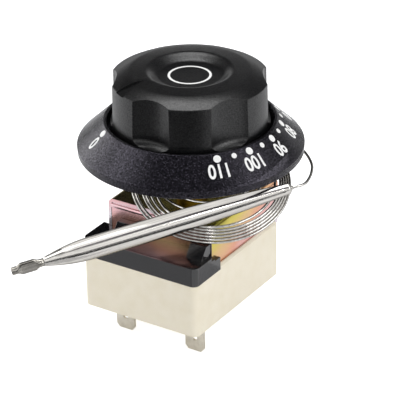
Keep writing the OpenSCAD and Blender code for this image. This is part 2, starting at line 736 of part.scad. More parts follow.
module terminal_right() {
    color("#D4CFC5") difference() {
        union() {
            tab_sheet(tab_x, -tab_y, lower_arm + tab_t, 5);
            block([-1.5, -contact_y - 2, lower_arm],
                  [tab_x + 2.5, -tab_y + tab_t / 2, lower_arm + tab_t]);
        }
        translate([0, -contact_y, lower_arm - eps]) cylinder(h = tab_t + 2 * eps, r = 0.8 + run_gap);
    }
}

module upper_contact() {
    color("#DEDCD4") translate([0, -contact_y, 0]) rotate_extrude() polygon([
        [0, upper_face], [contact_r, upper_face], [contact_r, upper_arm], [0.8, upper_arm],
        [0.8, upper_arm + tab_t], [1.2, upper_arm + tab_t], [1.2, upper_arm + tab_t + 0.3],
        [0, upper_arm + tab_t + 0.3]]);
}

module lower_contact() {
    color("#DEDCD4") translate([0, -contact_y, 0]) rotate_extrude() polygon([
        [0, lower_face], [contact_r, lower_face], [contact_r, lower_arm + tab_t],
        [0.8, lower_arm + tab_t], [0.8, lower_arm], [1.2, lower_arm], [1.2, lower_arm - 0.3],
        [0, lower_arm - 0.3]]);
}

module capillary() {
    color("#C9C8C2") swept_tube(route, cap_r, cap_sides);
}

// Puts a piece drawn along +Z on the bulb's axis, at a distance from its capillary end
module on_bulb_axis(back) {
    translate(bulb_right - back * bulb_dir)
        rotate([0, acos(bulb_dir[2]), atan2(bulb_dir[1], bulb_dir[0])]) children();
}

module bulb() {
    shoulder = bulb_l - taper_l;
    drawn = shoulder - draw_l;
    color("#D8D6D0") on_bulb_axis(bulb_l) rotate_extrude() polygon(concat(
        [[0, 0]],
        [for (k = [0:7]) [bulb_neck_r + (bulb_r - bulb_neck_r) * sin(k * 90 / 7), tail_taper_l * k / 7]],
        [[bulb_r, drawn], [bulb_r - 0.15 * (bulb_r - draw_r), drawn + 0.22 * draw_l]],
        [for (k = [0:4]) [bulb_neck_r + (draw_r - bulb_neck_r) * cos(k * 22.5),
                          shoulder + taper_l * sin(k * 22.5)]],
        [[cap_r + run_gap, bulb_l], [cap_r + run_gap, bulb_l - 2], [0, bulb_l - 2]]));
}

module filling_tail() {
    crimp = [0.28 * tail_l, 0.72 * tail_l];
    flat = [1.55 * tail_r, 0.5 * tail_r];
    color("#CFCDC6") on_bulb_axis(bulb_l) mirror([0, 0, 1]) {
        cylinder(h = crimp[0] - 1, r = tail_r);
        hull() {
            translate([0, 0, crimp[0] - 1.1]) cylinder(h = 0.1, r = tail_r, $fn = 24);
            translate([-flat[0], -flat[1], crimp[0]]) cube([2 * flat[0], 2 * flat[1], 0.1]);
        }
        translate([-flat[0], -flat[1], crimp[0]])
            cube([2 * flat[0], 2 * flat[1], crimp[1] - crimp[0]]);
        hull() {
            translate([-flat[0], -flat[1], crimp[1] - 0.1]) cube([2 * flat[0], 2 * flat[1], 0.1]);
            translate([0, 0, crimp[1] + 1]) cylinder(h = 0.1, r = tail_r, $fn = 24);
        }
        difference() {
            translate([0, 0, crimp[1] + 1]) cylinder(h = tail_l - crimp[1] - 1, r = tail_r);
            translate([0, 0, tail_l - 1.2]) cylinder(h = 2, r = tail_r - 0.4);
        }
    }
}

module dial_bezel() {
    rim_top = dial_z + rim_h;
    lip_r = well_r + 0.7;
    inner_r = well_r + dial_wall;
    color("#2B2A2E") difference() {
        union() {
            rotate_extrude() polygon([
                [spindle_r + 0.3, well_under], [inner_r, well_under],
                [inner_r, well_under + 2], [dial_r - 1.9, rim_top - 0.7], [dial_r - 1.9, dial_z],
                [dial_r - 0.2, dial_z], [dial_r, dial_z + 0.2], [dial_r + 0.1, rim_top - 0.3],
                [dial_r - 0.2, rim_top + 0.1], [lip_r + 0.3, dial_top - 0.1], [lip_r, dial_top],
                [well_r + 0.2, dial_top], [well_r, dial_top - 0.2], [well_r, well_floor],
                [spindle_r + 0.3, well_floor]]);
            // Collar round the shaft and bosses round the screw holes
            translate([0, 0, dial_z + 1.6]) cylinder(h = well_under - dial_z - 1.5, r = spindle_r + 3);
            for (s = [-1, 1]) translate([s * screw_pitch / 2, 0, dial_z + 1.6])
                cylinder(h = well_under - dial_z - 1.5, r = dial_hole_r + 2);
            // Stiffening ribs under the floor
            for (a = [30:60:330]) rotate([0, 0, a])
                block([spindle_r + 2, -0.6, dial_z + 1.6], [inner_r - 0.2, 0.6, well_under + 0.1]);
        }
        translate([0, 0, dial_z]) cylinder(h = dial_h, r = spindle_r + 0.3);
        for (s = [-1, 1]) translate([s * screw_pitch / 2, 0, dial_z])
            cylinder(h = dial_h, r = dial_hole_r);
    }
}

// Repeats a piece of one scoop, halfway between the pointer and the next lobe and on round
module at_scoops() {
    for (i = [0:scoops - 1]) rotate([0, 0, pointer_az + (i + 0.5) * scoop_az]) children();
}

// Finger scoops: upright cutters with a rounded foot
module scoop_cutters() {
    round_r = 2.3;
    foot = knob_foot + lip_h;
    at_scoops() translate([scoop_at, 0, 0]) rotate_extrude($fn = 128) polygon(concat(
        [[0, foot]],
        [for (k = [0:4]) [scoop_r - round_r + round_r * sin(k * 22.5),
                          foot + round_r - round_r * cos(k * 22.5)]],
        [[scoop_r, knob_crest + 2], [0, knob_crest + 2]]));
}

// Height and radius on the crown's round edge, at an angle from the shaft's direction
function crown_point(a, less = 0) =
    [crest_r + (crown_r - less) * sin(a), knob_crest - crown_r + (crown_r - less) * cos(a)];

module knob_body() {
    corner = crown_point(crown_az, side_round);
    rotate_extrude() polygon(concat(
        [[0, knob_foot], [knob_r - 0.2, knob_foot], [knob_r, knob_foot + 0.2],
         [knob_r - 0.2, knob_foot + lip_h + 0.2]],
        [for (k = [0:3]) let (a = (90 - crown_az) * k / 3)
            [corner[0] + side_round * cos(a), corner[1] + side_round * sin(a)]],
        [for (k = [1:6]) crown_point(crown_az * (1 - k / 6))],
        [for (k = [0:6]) [blend(bowl_r, bowl_floor_r, k / 6),
                          knob_crest - bowl_d * (1 - cos(k * 30)) / 2]],
        [[0, bowl_floor]]));
}

// Hollow under the knob, which leaves its hub, the walls behind the scoops, ribs from the hub
// to these walls and a thick place under the pointer's groove
module knob_hollow() {
    hollow_r = shoulder_r - knob_wall;
    difference() {
        rotate_extrude() polygon([
            [0, knob_foot - eps], [hollow_r, knob_foot - eps], [hollow_r, knob_shoulder - 0.6],
            [crest_r + 1.2, knob_crest - knob_wall], [bowl_r + 0.6, knob_crest - knob_wall],
            [bowl_floor_r + 0.4, bowl_floor - knob_wall], [0, bowl_floor - knob_wall]]);
        translate([0, 0, knob_foot - 2 * eps]) cylinder(h = knob_h + crown, r = hub_r);
        at_scoops() translate([scoop_at, 0, knob_foot - 2 * eps])
            cylinder(h = knob_h + crown + 2 * eps, r = scoop_r + knob_wall, $fn = 128);
        at_scoops() block([hub_r - 0.5, -0.6, knob_foot + 4.5],
                          [scoop_at - scoop_r - 1, 0.6, knob_crest]);
        rotate([0, 0, pointer_az])
            block([crest_r - 4, -pointer_w / 2 - 1.2, knob_shoulder - 2.4],
                  [knob_r, pointer_w / 2 + 1.2, knob_crest]);
    }
}

module knob() {
    tip = crest_r - 2.9;
    edge = knob_r + 1;
    color("#1E1E21") difference() {
        union() {
            difference() {
                knob_body();
                scoop_cutters();
                knob_hollow();
            }
            translate([0, 0, knob_foot - 0.5]) cylinder(h = 1, r = hub_r);
        }
        // Bore with a flat for the spindle
        difference() {
            translate([0, 0, knob_foot - 2 * eps])
                cylinder(h = spindle_top + 0.5 - knob_foot + 2 * eps, r = spindle_r + run_gap);
            rotate([0, 0, pointer_az])
                translate([flat_across - spindle_r + run_gap, -spindle_r - eps, knob_foot - 3 * eps])
                    cube([spindle_r, 2 * spindle_r + 2 * eps, knob_h + 3 * eps]);
        }
        // Pointer's groove, wider and deeper towards the edge
        rotate([0, 0, pointer_az]) intersection() {
            profile_across_y(pointer_w) polygon([
                [tip, knob_crest], [edge, knob_shoulder - 0.8], [edge, knob_crest + 1],
                [tip, knob_crest + 1]]);
            translate([0, 0, knob_foot]) linear_extrude(knob_h + crown + 2) polygon([
                [tip, -pointer_tip_w / 2], [edge, -pointer_w / 2 - 0.2],
                [edge, pointer_w / 2 + 0.2], [tip, pointer_tip_w / 2]]);
        }
    }
}

module knob_spring_clip() {
    color("#9C9C98") translate([0, 0, knob_foot]) linear_extrude(3.5) difference() {
        circle(hub_r + 0.55);
        circle(hub_r + run_gap);
        rotate([0, 0, pointer_az]) translate([0, -1.2]) square([2 * hub_r, 2.4]);
    }
}

housing();
cover();
bracket();
inner_frame();
frame_rivets();
guide_post();
spindle_bush();
spindle();
retaining_clip();
stop_washer();
calibration_screw();
carrier_nut();
capsule_upper_shell();
capsule_lower_shell();
capsule_nipple();
pressure_button();
push_pin();
contact_blade();
moving_contact();
terminal_common();
terminal_left();
terminal_right();
upper_contact();
lower_contact();
capillary();
bulb();
filling_tail();
dial_bezel();
knob();
knob_spring_clip();
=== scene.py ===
# %% [markdown]
# This lesson dresses the control of a deep fryer: a knob on a coned dial ring, a small switch
# case, and a thin steel tube that is wound up between the case and a sensing bulb. The solids
# come from a CAD model, in metres, and stay where they are. Blender adds the finishes, the
# print on the dial, and finer versions of a few pieces.
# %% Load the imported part
import json
import math

import bmesh
import bpy
from mathutils import Matrix, Vector
from mathutils.bvhtree import BVHTree


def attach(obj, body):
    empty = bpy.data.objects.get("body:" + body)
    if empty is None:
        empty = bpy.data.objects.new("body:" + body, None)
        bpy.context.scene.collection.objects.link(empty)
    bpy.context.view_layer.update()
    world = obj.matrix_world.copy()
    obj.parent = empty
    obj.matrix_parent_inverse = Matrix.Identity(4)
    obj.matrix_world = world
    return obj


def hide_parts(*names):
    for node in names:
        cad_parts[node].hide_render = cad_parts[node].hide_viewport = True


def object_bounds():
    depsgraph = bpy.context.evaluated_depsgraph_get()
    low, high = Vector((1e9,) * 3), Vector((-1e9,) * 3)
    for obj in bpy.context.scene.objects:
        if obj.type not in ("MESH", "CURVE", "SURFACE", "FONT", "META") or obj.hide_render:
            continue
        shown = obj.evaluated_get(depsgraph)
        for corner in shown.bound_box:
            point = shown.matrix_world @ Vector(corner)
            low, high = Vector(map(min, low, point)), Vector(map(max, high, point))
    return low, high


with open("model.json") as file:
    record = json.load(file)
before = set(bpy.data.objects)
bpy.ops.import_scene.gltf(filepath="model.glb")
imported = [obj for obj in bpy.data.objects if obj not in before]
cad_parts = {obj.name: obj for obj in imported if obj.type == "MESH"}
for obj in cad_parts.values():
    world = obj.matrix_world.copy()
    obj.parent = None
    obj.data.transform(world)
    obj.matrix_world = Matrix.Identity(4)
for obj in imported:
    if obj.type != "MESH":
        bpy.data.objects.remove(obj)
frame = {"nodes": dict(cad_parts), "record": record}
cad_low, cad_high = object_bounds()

MM = 0.001
scene = bpy.context.scene
print("CAD box in mm:", [round(v / MM, 1) for v in (*cad_low, *cad_high)])

# %% [markdown]
# A camera far away with a long lens gives the flat perspective of a catalogue picture. Its
# angle and distance were fitted to the round edges of the dial ring and to the straight edges
# of the case. The lens follows from the focal length in pixels and the picture's width. The
# camera is turned by a matrix of three directions, in which its slight roll is easy to see.
# %% Camera
PICTURE_WIDTH = 400
FOCAL_PIXELS = 2443
SENSOR_WIDTH = 36
AZIMUTH = 33.1
ELEVATION = 27.4
ROLL = math.radians(-0.9)
DISTANCE = 700 * MM
LOOK_AT = Vector((0, 0, 13.4 * MM))
SHIFT_RIGHT = 2.59 * MM
SHIFT_UP = -15.1 * MM


def direction_of(azimuth, elevation):
    """Unit vector from the part in a direction given in degrees. Azimuth 0 is the front."""
    a, e = math.radians(azimuth), math.radians(elevation)
    return Vector((math.sin(a) * math.cos(e), -math.cos(a) * math.cos(e), math.sin(e)))


back = direction_of(AZIMUTH, ELEVATION)
level = direction_of(AZIMUTH + 90, 0)
upright = back.cross(level)
picture_right = level * math.cos(ROLL) + upright * math.sin(ROLL)
picture_up = upright * math.cos(ROLL) - level * math.sin(ROLL)

lens = bpy.data.cameras.new("camera")
lens.sensor_width = SENSOR_WIDTH
lens.lens = SENSOR_WIDTH * FOCAL_PIXELS / PICTURE_WIDTH
camera = bpy.data.objects.new("camera", lens)
scene.collection.objects.link(camera)
camera.matrix_world = Matrix((picture_right, picture_up, back)).transposed().to_4x4()
camera.location = (LOOK_AT + back * DISTANCE + picture_right * SHIFT_RIGHT
                   + picture_up * SHIFT_UP)
scene.camera = camera
scene.view_settings.view_transform = "Standard"
print("lens in mm:", round(lens.lens, 1))

# %% [markdown]
# Every finish below is a tree of shader nodes. Two helpers keep the trees short to read: one
# turns a colour from the usual hex form into the linear values that the renderer works with,
# and one adds a node with its settings and links.
# %% Helpers for colours and nodes
def linear(colour):
    """Linear red, green, blue and alpha of an sRGB colour such as #D8D6D0."""
    parts = [int(colour[i:i + 2], 16) / 255 for i in (1, 3, 5)]
    return [v / 12.92 if v <= 0.04045 else ((v + 0.055) / 1.055) ** 2.4 for v in parts] + [1]


def add_node(tree, kind, settings=None, values=None, links=None):
    """A new node with its settings, the values of its sockets, and links from other sockets."""
    node = tree.nodes.new(kind)
    for name, value in (settings or {}).items():
        setattr(node, name, value)
    for name, value in (values or {}).items():
        node.inputs[name].default_value = value
    for name, socket in (links or {}).items():
        tree.links.new(socket, node.inputs[name])
    return node


print("the case's cream in linear values:", [round(v, 3) for v in linear("#F5EDD9")])

# %% [markdown]
# The picture has a white ground. The floor is a pale sheet under the three tabs. To the camera
# it looks white, so a glow is added for rays from the camera only. The surroundings are white
# for the camera and in mirrors, without pouring more light on the part.
# %% White floor and surroundings
FLOOR_GLOW = 0.6
FLOOR_SIZE = 6
SKY_FILL = 0.58


def seen_directly(tree):
    """1 for rays from the camera and for rays that a mirror or glass sends on, otherwise 0."""
    path = add_node(tree, "ShaderNodeLightPath")
    first = add_node(tree, "ShaderNodeMath", {"operation": "MAXIMUM"},
                     links={0: path.outputs["Is Camera Ray"], 1: path.outputs["Is Glossy Ray"]})
    return add_node(tree, "ShaderNodeMath", {"operation": "MAXIMUM"},
                    links={0: first.outputs[0], 1: path.outputs["Is Transmission Ray"]}).outputs[0]


world = bpy.data.worlds.new("white_room")
scene.world = world
world.use_nodes = True
sky = world.node_tree
sky.nodes.clear()
fill = add_node(sky, "ShaderNodeBackground",
                values={"Color": linear("#FBFCFF"), "Strength": SKY_FILL})
white = add_node(sky, "ShaderNodeBackground", values={"Color": linear("#FFFFFF"), "Strength": 1})
ground = add_node(sky, "ShaderNodeMixShader",
                  links={0: seen_directly(sky), 1: fill.outputs[0], 2: white.outputs[0]})
add_node(sky, "ShaderNodeOutputWorld", links={"Surface": ground.outputs[0]})

paper = bpy.data.materials.new("white_paper")
paper.use_nodes = True
sheet = paper.node_tree
sheet.nodes.clear()
matt = add_node(sheet, "ShaderNodeBsdfDiffuse", values={"Color": linear("#F4F4F4")})
glow = add_node(sheet, "ShaderNodeEmission", values={"Color": linear("#FFFFFF")})
path = add_node(sheet, "ShaderNodeLightPath")
amount = add_node(sheet, "ShaderNodeMath", {"operation": "MULTIPLY"}, {1: FLOOR_GLOW},
                  {0: path.outputs["Is Camera Ray"]})
sheet.links.new(amount.outputs[0], glow.inputs["Strength"])
both = add_node(sheet, "ShaderNodeAddShader", links={0: matt.outputs[0], 1: glow.outputs[0]})
add_node(sheet, "ShaderNodeOutputMaterial", links={"Surface": both.outputs[0]})

floor_level = cad_low.z
bpy.ops.mesh.primitive_plane_add(size=FLOOR_SIZE, location=(0, 0, floor_level))
floor = bpy.context.object
floor.name = "floor"
floor.data.materials.append(paper)
print("floor level in mm:", round(floor_level / MM, 2))

# %% [markdown]
# Soft light comes from large lamps close to the part, as from a photographer's soft boxes. Two
# hang overhead: they draw the gleam on the front of the knob's crown and on the rear wall of its
# bowl. One stands at the right. Two at the left stand low, so that the polished black faces that
# lean back do not mirror them. A small one at the left brings out the grain of the dial, and a
# small one near the camera draws thin lines on the rounded edges. They are area lamps, because
# a lamp's size sets how wide its gleam is. Sizes and distances are in metres, powers in watts.
# %% Soft boxes
def soft_box(name, azimuth, elevation, distance, size, watts):
    """A square lamp that faces the part from a direction given in degrees."""
    direction = direction_of(azimuth, elevation)
    lamp = bpy.data.lights.new(name, "AREA")
    lamp.shape = "SQUARE"
    lamp.size = size
    lamp.energy = watts
    box = bpy.data.objects.new(name, lamp)
    scene.collection.objects.link(box)
    box.location = LOOK_AT + direction * distance
    box.rotation_euler = direction.to_track_quat("Z", "Y").to_euler()
    return box


soft_box("box_above", 245, 66, 0.5, 0.18, 0.13)
soft_box("box_top", 213, 82, 0.5, 0.3, 0.85)
soft_box("box_right", 95, 30, 0.6, 0.42, 1.06)
soft_box("box_left", -22, 6, 0.7, 0.4, 0.08)
soft_box("box_far_left", -90, 8, 0.7, 0.5, 1.6)
soft_box("box_dial", -66, 42, 0.7, 0.26, 0.42)
soft_box("box_small", 30, 38, 0.6, 0.07, 0.15)

# %% [markdown]
# The dial ring keeps the light of the soft boxes off the bulb. A narrow strip lamp hangs under
# the ring, in line with the bulb, and draws the bright line along it. It is too weak to light
# anything else.
# %% Strip lamp
STRIP_WIDTH = 12.8 * MM
STRIP_LENGTH = 72.8 * MM
STRIP_PLACE = Vector((9, -22.5, 10)) * MM
STRIP_ACROSS = Vector((8, -10, 1)).normalized()
STRIP_ALONG = Vector((56, 43, 18)).normalized()
STRIP_WATTS = 0.003

strip = soft_box("strip_over_bulb", 0, 0, 0, STRIP_WIDTH, STRIP_WATTS)
strip.data.shape = "RECTANGLE"
strip.data.size_y = STRIP_LENGTH
strip.location = STRIP_PLACE
upward = STRIP_ACROSS.cross(STRIP_ALONG).normalized()
strip.rotation_euler = Matrix((STRIP_ACROSS, STRIP_ALONG, upward)).transposed().to_euler()
strip.visible_camera = False
print("strip lamp over the bulb:", STRIP_WATTS, "W")

# %% [markdown]
# White surroundings on all sides would make every metal look flat. A photographer puts up dark
# cards, and their reflections draw the dark lines along a bright tube. The cards here show in
# reflections only: two behind the part, one above its front, dark mats on the floor in front
# and at the left, and a dark edge of the table, which is a low ring round it. Two pale mats
# close to the part are what the underside of the bulb and the side of the bracket mirror, and a
# small dark card at the left is what the sloped wedges of the cover mirror.
# %% Cards for reflections
MAT_LEVEL = -40
TABLE_RADIUS = 0.6
EDGE_HEIGHT = 0.09


def card_finish(name, colour):
    """An even tone that needs no light."""
    material = bpy.data.materials.new(name)
    material.use_nodes = True
    tree = material.node_tree
    tree.nodes.clear()
    tone = add_node(tree, "ShaderNodeEmission", values={"Color": linear(colour)})
    add_node(tree, "ShaderNodeOutputMaterial", links={"Surface": tone.outputs[0]})
    return material


def only_reflected(card, colour):
    """Keeps a card out of the picture and out of the light, so that only reflections show it."""
    card.data.materials.append(card_finish(card.name + "_tone", colour))
    card.visible_camera = False
    card.visible_diffuse = False
    card.visible_shadow = False
    card.visible_transmission = False


def flat_card(name, azimuth, elevation, distance, width, height, colour):
    """A rectangle that faces the part from a direction given in degrees."""
    direction = direction_of(azimuth, elevation)
    bpy.ops.mesh.primitive_plane_add(size=1)
    card = bpy.context.object
    card.name = name
    for corner in card.data.vertices:
        corner.co = Vector((corner.co.x * width, corner.co.y * height, 0))
    card.location = LOOK_AT + direction * distance
    card.rotation_euler = direction.to_track_quat("Z", "Y").to_euler()
    only_reflected(card, colour)


def card_between(name, corners, colour):
    """A card with its corners given in millimetres."""
    sheet = bpy.data.meshes.new(name)
    sheet.from_pydata([tuple(Vector(c) * MM) for c in corners], [], [(0, 1, 2, 3)])
    card = bpy.data.objects.new(name, sheet)
    scene.collection.objects.link(card)
    only_reflected(card, colour)


def floor_mat(name, outline, colour):
    """A card just over the floor, with its outline in millimetres."""
    card_between(name, [(x, y, MAT_LEVEL) for x, y in outline], colour)


flat_card("card_behind", 183, 38, 0.7, 0.8, 0.6, "#565658")
flat_card("card_behind_left", 238, 38, 0.7, 0.6, 0.6, "#0E0E0F")
flat_card("card_front", 28, 60, 0.5, 0.7, 0.36, "#66646A")
floor_mat("mat_front", [(20, -130), (110, -70), (330, -260), (60, -430)], "#161618")
floor_mat("mat_left", [(-100, -120), (19, -138), (59, -430), (-330, -330)], "#3A3A3C")
floor_mat("mat_near", [(-44, -58), (24, -58), (24, -118), (-44, -118)], "#CCCCCE")
floor_mat("mat_side", [(34, -4), (50, -4), (50, 26), (34, 26)], "#C4C4C6")
card_between("card_low_left", [(-110, -125, 73), (-20, -125, 73), (-20, -125, 115),
                               (-110, -125, 115)], "#060607")

bpy.ops.mesh.primitive_cylinder_add(vertices=96, radius=TABLE_RADIUS, depth=EDGE_HEIGHT,
                                    end_fill_type="NOTHING",
                                    location=(0, 0, floor_level + EDGE_HEIGHT / 2))
table_edge = bpy.context.object
table_edge.name = "table_edge"
only_reflected(table_edge, "#3A3A3C")

# %% [markdown]
# All finishes start in the same way: a material with the Principled shader and the part's own
# Object coordinates, in metres. A pattern's scale is then 1 divided by its real size, so
# per_mm(0.4) gives a pattern that repeats about every 0.4 mm. One pattern, uneven patches of a
# given size, serves most surfaces. It may drive the colour, the roughness, the strength of the
# gleam and the relief, each alone or several together. Painted pictures would do as well, but
# noise needs no file and keeps its real size on every piece.
# %% Start of every finish
def per_mm(size):
    """Texture scale for a pattern of this size in millimetres."""
    return 1 / (size * MM)


def start_finish(name, values):
    """A new material with values on its shader. Returns it with its tree, shader and coordinates."""
    material = bpy.data.materials.new(name)
    material.use_nodes = True
    tree = material.node_tree
    tree.nodes.clear()
    shader = add_node(tree, "ShaderNodeBsdfPrincipled", values=values)
    add_node(tree, "ShaderNodeOutputMaterial", links={"Surface": shader.outputs["BSDF"]})
    place = add_node(tree, "ShaderNodeTexCoord").outputs["Object"]
    return material, tree, shader, place


def patches(tree, place, size, detail=3, stretch=(1, 1, 1)):
    """Uneven patches between 0 and 1 that measure about size millimetres."""
    stretched = add_node(tree, "ShaderNodeMapping", values={"Scale": stretch},
                         links={"Vector": place})
    return add_node(tree, "ShaderNodeTexNoise", values={"Scale": per_mm(size), "Detail": detail},
                    links={"Vector": stretched.outputs[0]}).outputs["Fac"]


def vary(tree, shader, pattern, colours=None, roughness=None, gleam=None, depth=None):
    """Lets a pattern drive a shader: its colour through stops, each a position and a hex colour,
    its roughness and the strength of its gleam between two values, and bumps of a depth in
    millimetres."""
    if colours:
        mixed = add_node(tree, "ShaderNodeValToRGB", links={"Fac": pattern})
        points = mixed.color_ramp.elements
        while len(points) < len(colours):
            points.new(0.5)
        for point, (position, colour) in zip(points, colours):
            point.position = position
            point.color = linear(colour)
        tree.links.new(mixed.outputs["Color"], shader.inputs["Base Color"])
    for socket, limits in (("Roughness", roughness), ("Specular IOR Level", gleam)):
        if limits:
            between = add_node(tree, "ShaderNodeMapRange",
                               values={"To Min": limits[0], "To Max": limits[1]},
                               links={"Value": pattern})
            tree.links.new(between.outputs["Result"], shader.inputs[socket])
    if depth:
        bump = add_node(tree, "ShaderNodeBump", values={"Distance": depth * MM, "Strength": 1},
                        links={"Height": pattern})
        tree.links.new(bump.outputs[0], shader.inputs["Normal"])


def describe(material):
    """Prints how many nodes a finish has."""
    print(material.name, "has", len(material.node_tree.nodes), "nodes")


finishes = {}
print("a 0.4 mm grain has the scale", per_mm(0.4))

# %% [markdown]
# The switch housing is moulded from a pale thermoset, urea or phenolic, filled with minerals.
# The filler makes it opaque and a little mottled, and the mould leaves it satin rather than
# glossy.
# %% Cream thermoset
finishes["cream_case"], tree, shader, place = start_finish(
    "cream_thermoset", {"Roughness": 0.5, "IOR": 1.55, "Specular IOR Level": 0.35})
vary(tree, shader, patches(tree, place, 4, 4), colours=[(0.3, "#F0E7D0"), (0.7, "#F5EDD9")])
vary(tree, shader, patches(tree, place, 1.2), roughness=(0.44, 0.56))
vary(tree, shader, patches(tree, place, 0.5), depth=0.01)
describe(finishes["cream_case"])

# %% [markdown]
# The cover over the contacts is a black moulding from a polished mould. It mirrors the coloured
# steel behind it, so it needs a low roughness and the resin skin of such mouldings as a coat,
# and a slow waviness that bends the mirror image.
# %% Black polished moulding
finishes["black_cover"], tree, shader, place = start_finish(
    "black_polished_moulding", {"Roughness": 0.1, "IOR": 1.57, "Coat Weight": 0.5,
                                "Coat Roughness": 0.06})
vary(tree, shader, patches(tree, place, 8), colours=[(0.3, "#121214"), (0.7, "#18181A")])
vary(tree, shader, patches(tree, place, 2.5), roughness=(0.07, 0.16))
vary(tree, shader, patches(tree, place, 6, 1), depth=0.05)
describe(finishes["black_cover"])

# %% [markdown]
# The knob is nylon from a finely etched mould. Its gleam is wide and soft, and broken up by a
# texture that is too fine to feel. The real one measures about 0.1 mm. It is drawn at 0.4 mm,
# or it would vanish between the pixels.
# %% Black satin nylon
finishes["black_knob"], tree, shader, place = start_finish(
    "black_satin_nylon", {"Roughness": 0.3, "IOR": 1.53})
vary(tree, shader, patches(tree, place, 6), colours=[(0.3, "#080809"), (0.7, "#0D0D0E")])
vary(tree, shader, patches(tree, place, 1.5), roughness=(0.26, 0.36))
vary(tree, shader, patches(tree, place, 0.4, 2), gleam=(0.1, 0.9), depth=0.03)
describe(finishes["black_knob"])

# %% [markdown]
# The dial ring comes from a spark-eroded mould. It has a visible grain of small rounded pits,
# a few tenths of a millimetre across. A pit reflects less than the land beside it, so the same
# patches drive the relief and the strength of the gleam. They also drive the colour, and that
# colour is painted light: painted shade, darker in the pits, and painted glints, lighter and
# violet-grey on the lands. The gleam is a little violet.
# %% Black grained moulding
finishes["black_dial"], tree, shader, place = start_finish(
    "black_grained_moulding", {"Roughness": 0.24, "IOR": 1.53,
                               "Specular Tint": linear("#E2DCF2")})
# The colour stops paint shade into the pits and violet-grey glints onto the lands.
vary(tree, shader, patches(tree, place, 0.45, 2), colours=[(0.5, "#040405"), (0.7, "#26242A")],
     gleam=(-0.3, 1.06), depth=0.08)
vary(tree, shader, patches(tree, place, 2), roughness=(0.2, 0.28))
describe(finishes["black_dial"])

# %% [markdown]
# The bracket is steel with a zinc coat and a yellow passivation. The passivation is a film of
# a few hundred nanometres, and its colour changes with its thickness, like oil on water: from
# lavender and pink through orange and yellow to olive. Here the thickness is a drift across the
# part plus large patches, and stops give the colour for each thickness. The bracket's front
# edges are sheared, and their film stays thin and pale.
# %% Steel with iridescent passivation
FILM_COLOURS = [(0.0, "#E8DEE4"), (0.13, "#EDC0C4"), (0.3, "#E6A88E"), (0.46, "#E2BE8A"),
                (0.6, "#D8C860"), (0.75, "#8F8A3A"), (1.0, "#6B4E2A")]
FILM_UNEVENNESS = 0.15
ALONG_ROLLING = (1, 0.06, 1)


def passivated(name, drift, start, thin_front, roughness):
    """Zinc-plated steel. Its film starts at a value and thickens by drift for each millimetre.
    On faces toward the front it is thinner by thin_front."""
    material, tree, shader, place = start_finish(name, {"Metallic": 1})
    along = add_node(tree, "ShaderNodeVectorMath", {"operation": "DOT_PRODUCT"},
                     {1: [d / MM for d in drift]}, {0: place}).outputs["Value"]
    uneven = add_node(tree, "ShaderNodeMapRange",
                      values={"To Min": start - FILM_UNEVENNESS, "To Max": start + FILM_UNEVENNESS},
                      links={"Value": patches(tree, place, 12, 2)}).outputs["Result"]
    film = add_node(tree, "ShaderNodeMath", {"operation": "ADD"}, links={0: along, 1: uneven})
    facing = add_node(tree, "ShaderNodeTexCoord").outputs["Normal"]
    front = add_node(tree, "ShaderNodeVectorMath", {"operation": "DOT_PRODUCT"},
                     {1: (0, -thin_front, 0)}, {0: facing}).outputs["Value"]
    thinner = add_node(tree, "ShaderNodeMath", {"operation": "MAXIMUM"}, {1: 0}, {0: front})
    film = add_node(tree, "ShaderNodeMath", {"operation": "SUBTRACT"},
                    links={0: film.outputs[0], 1: thinner.outputs[0]})
    vary(tree, shader, film.outputs[0], colours=FILM_COLOURS)
    vary(tree, shader, patches(tree, place, 0.4, 2, stretch=ALONG_ROLLING),
         roughness=(roughness * 0.7, roughness * 1.3), depth=0.006)
    describe(material)
    return material


finishes["chromated_steel"] = passivated("yellow_passivated_steel", (-0.004, -0.012, 0.03),
                                         0.66, 0.78, 0.23)
inner_frame_finish = passivated("pink_passivated_steel", (0.006, 0, -0.038), 0.1, 0, 0.23)

# %% [markdown]
# The small metal pieces differ by their colour, by how rough they are and by the size of the
# marks that their making left: fine on turned steel and brass, wide and soft on tin plate. One
# function serves them all, with the size of the marks in millimetres.
# %% Bare metals
def bare_metal(name, dark, light, roughness, mark):
    """A metal with its colours, roughness and tool marks."""
    material, tree, shader, place = start_finish(name, {"Metallic": 1})
    vary(tree, shader, patches(tree, place, mark), colours=[(0.25, dark), (0.75, light)],
         roughness=(roughness * 0.75, roughness * 1.3), depth=0.004)
    return material


finishes["stainless"] = bare_metal("drawn_stainless_tube", "#B9B7B2", "#DBD9D4", 0.2, 0.8)
finishes["steel"] = bare_metal("turned_steel", "#9A9994", "#B9B8B2", 0.32, 0.4)
finishes["brass"] = bare_metal("turned_brass", "#B98E3E", "#D8B361", 0.28, 0.4)
finishes["tinned_brass"] = bare_metal("tin_plate", "#DAD5C9", "#EFEADF", 0.36, 1.6)
finishes["spring_bronze"] = bare_metal("rolled_bronze", "#B07843", "#CF9760", 0.25, 0.5)
finishes["contact_silver"] = bare_metal("contact_silver", "#D6D4CE", "#ECEAE4", 0.22, 0.6)
print("finishes:", len(finishes))

# %% [markdown]
# The bulb and the capillary are drawn stainless tube. Drawing leaves fine lines along the tube.
# For the bulb the coordinates are first turned so that Z lies along its axis, and then squeezed
# along Z, so that the patches become long lines. The axis runs between the bulb's two ends, as
# in the CAD model. The tube mirrors less at grazing angles, which draws a thin dark line along
# its edges. The filling tube is duller, because it was heated, pinched and cut.
# %% Drawn tube
BULB_LEFT = Vector((-18.53, -47.51, -6.96))
BULB_RIGHT = Vector((35.8, -4.5, 11.7))
ALONG_Z = Vector((0, 0, 1))
LONG_LINES = (1, 1, 0.012)

bulb_axis = (BULB_RIGHT - BULB_LEFT).normalized()


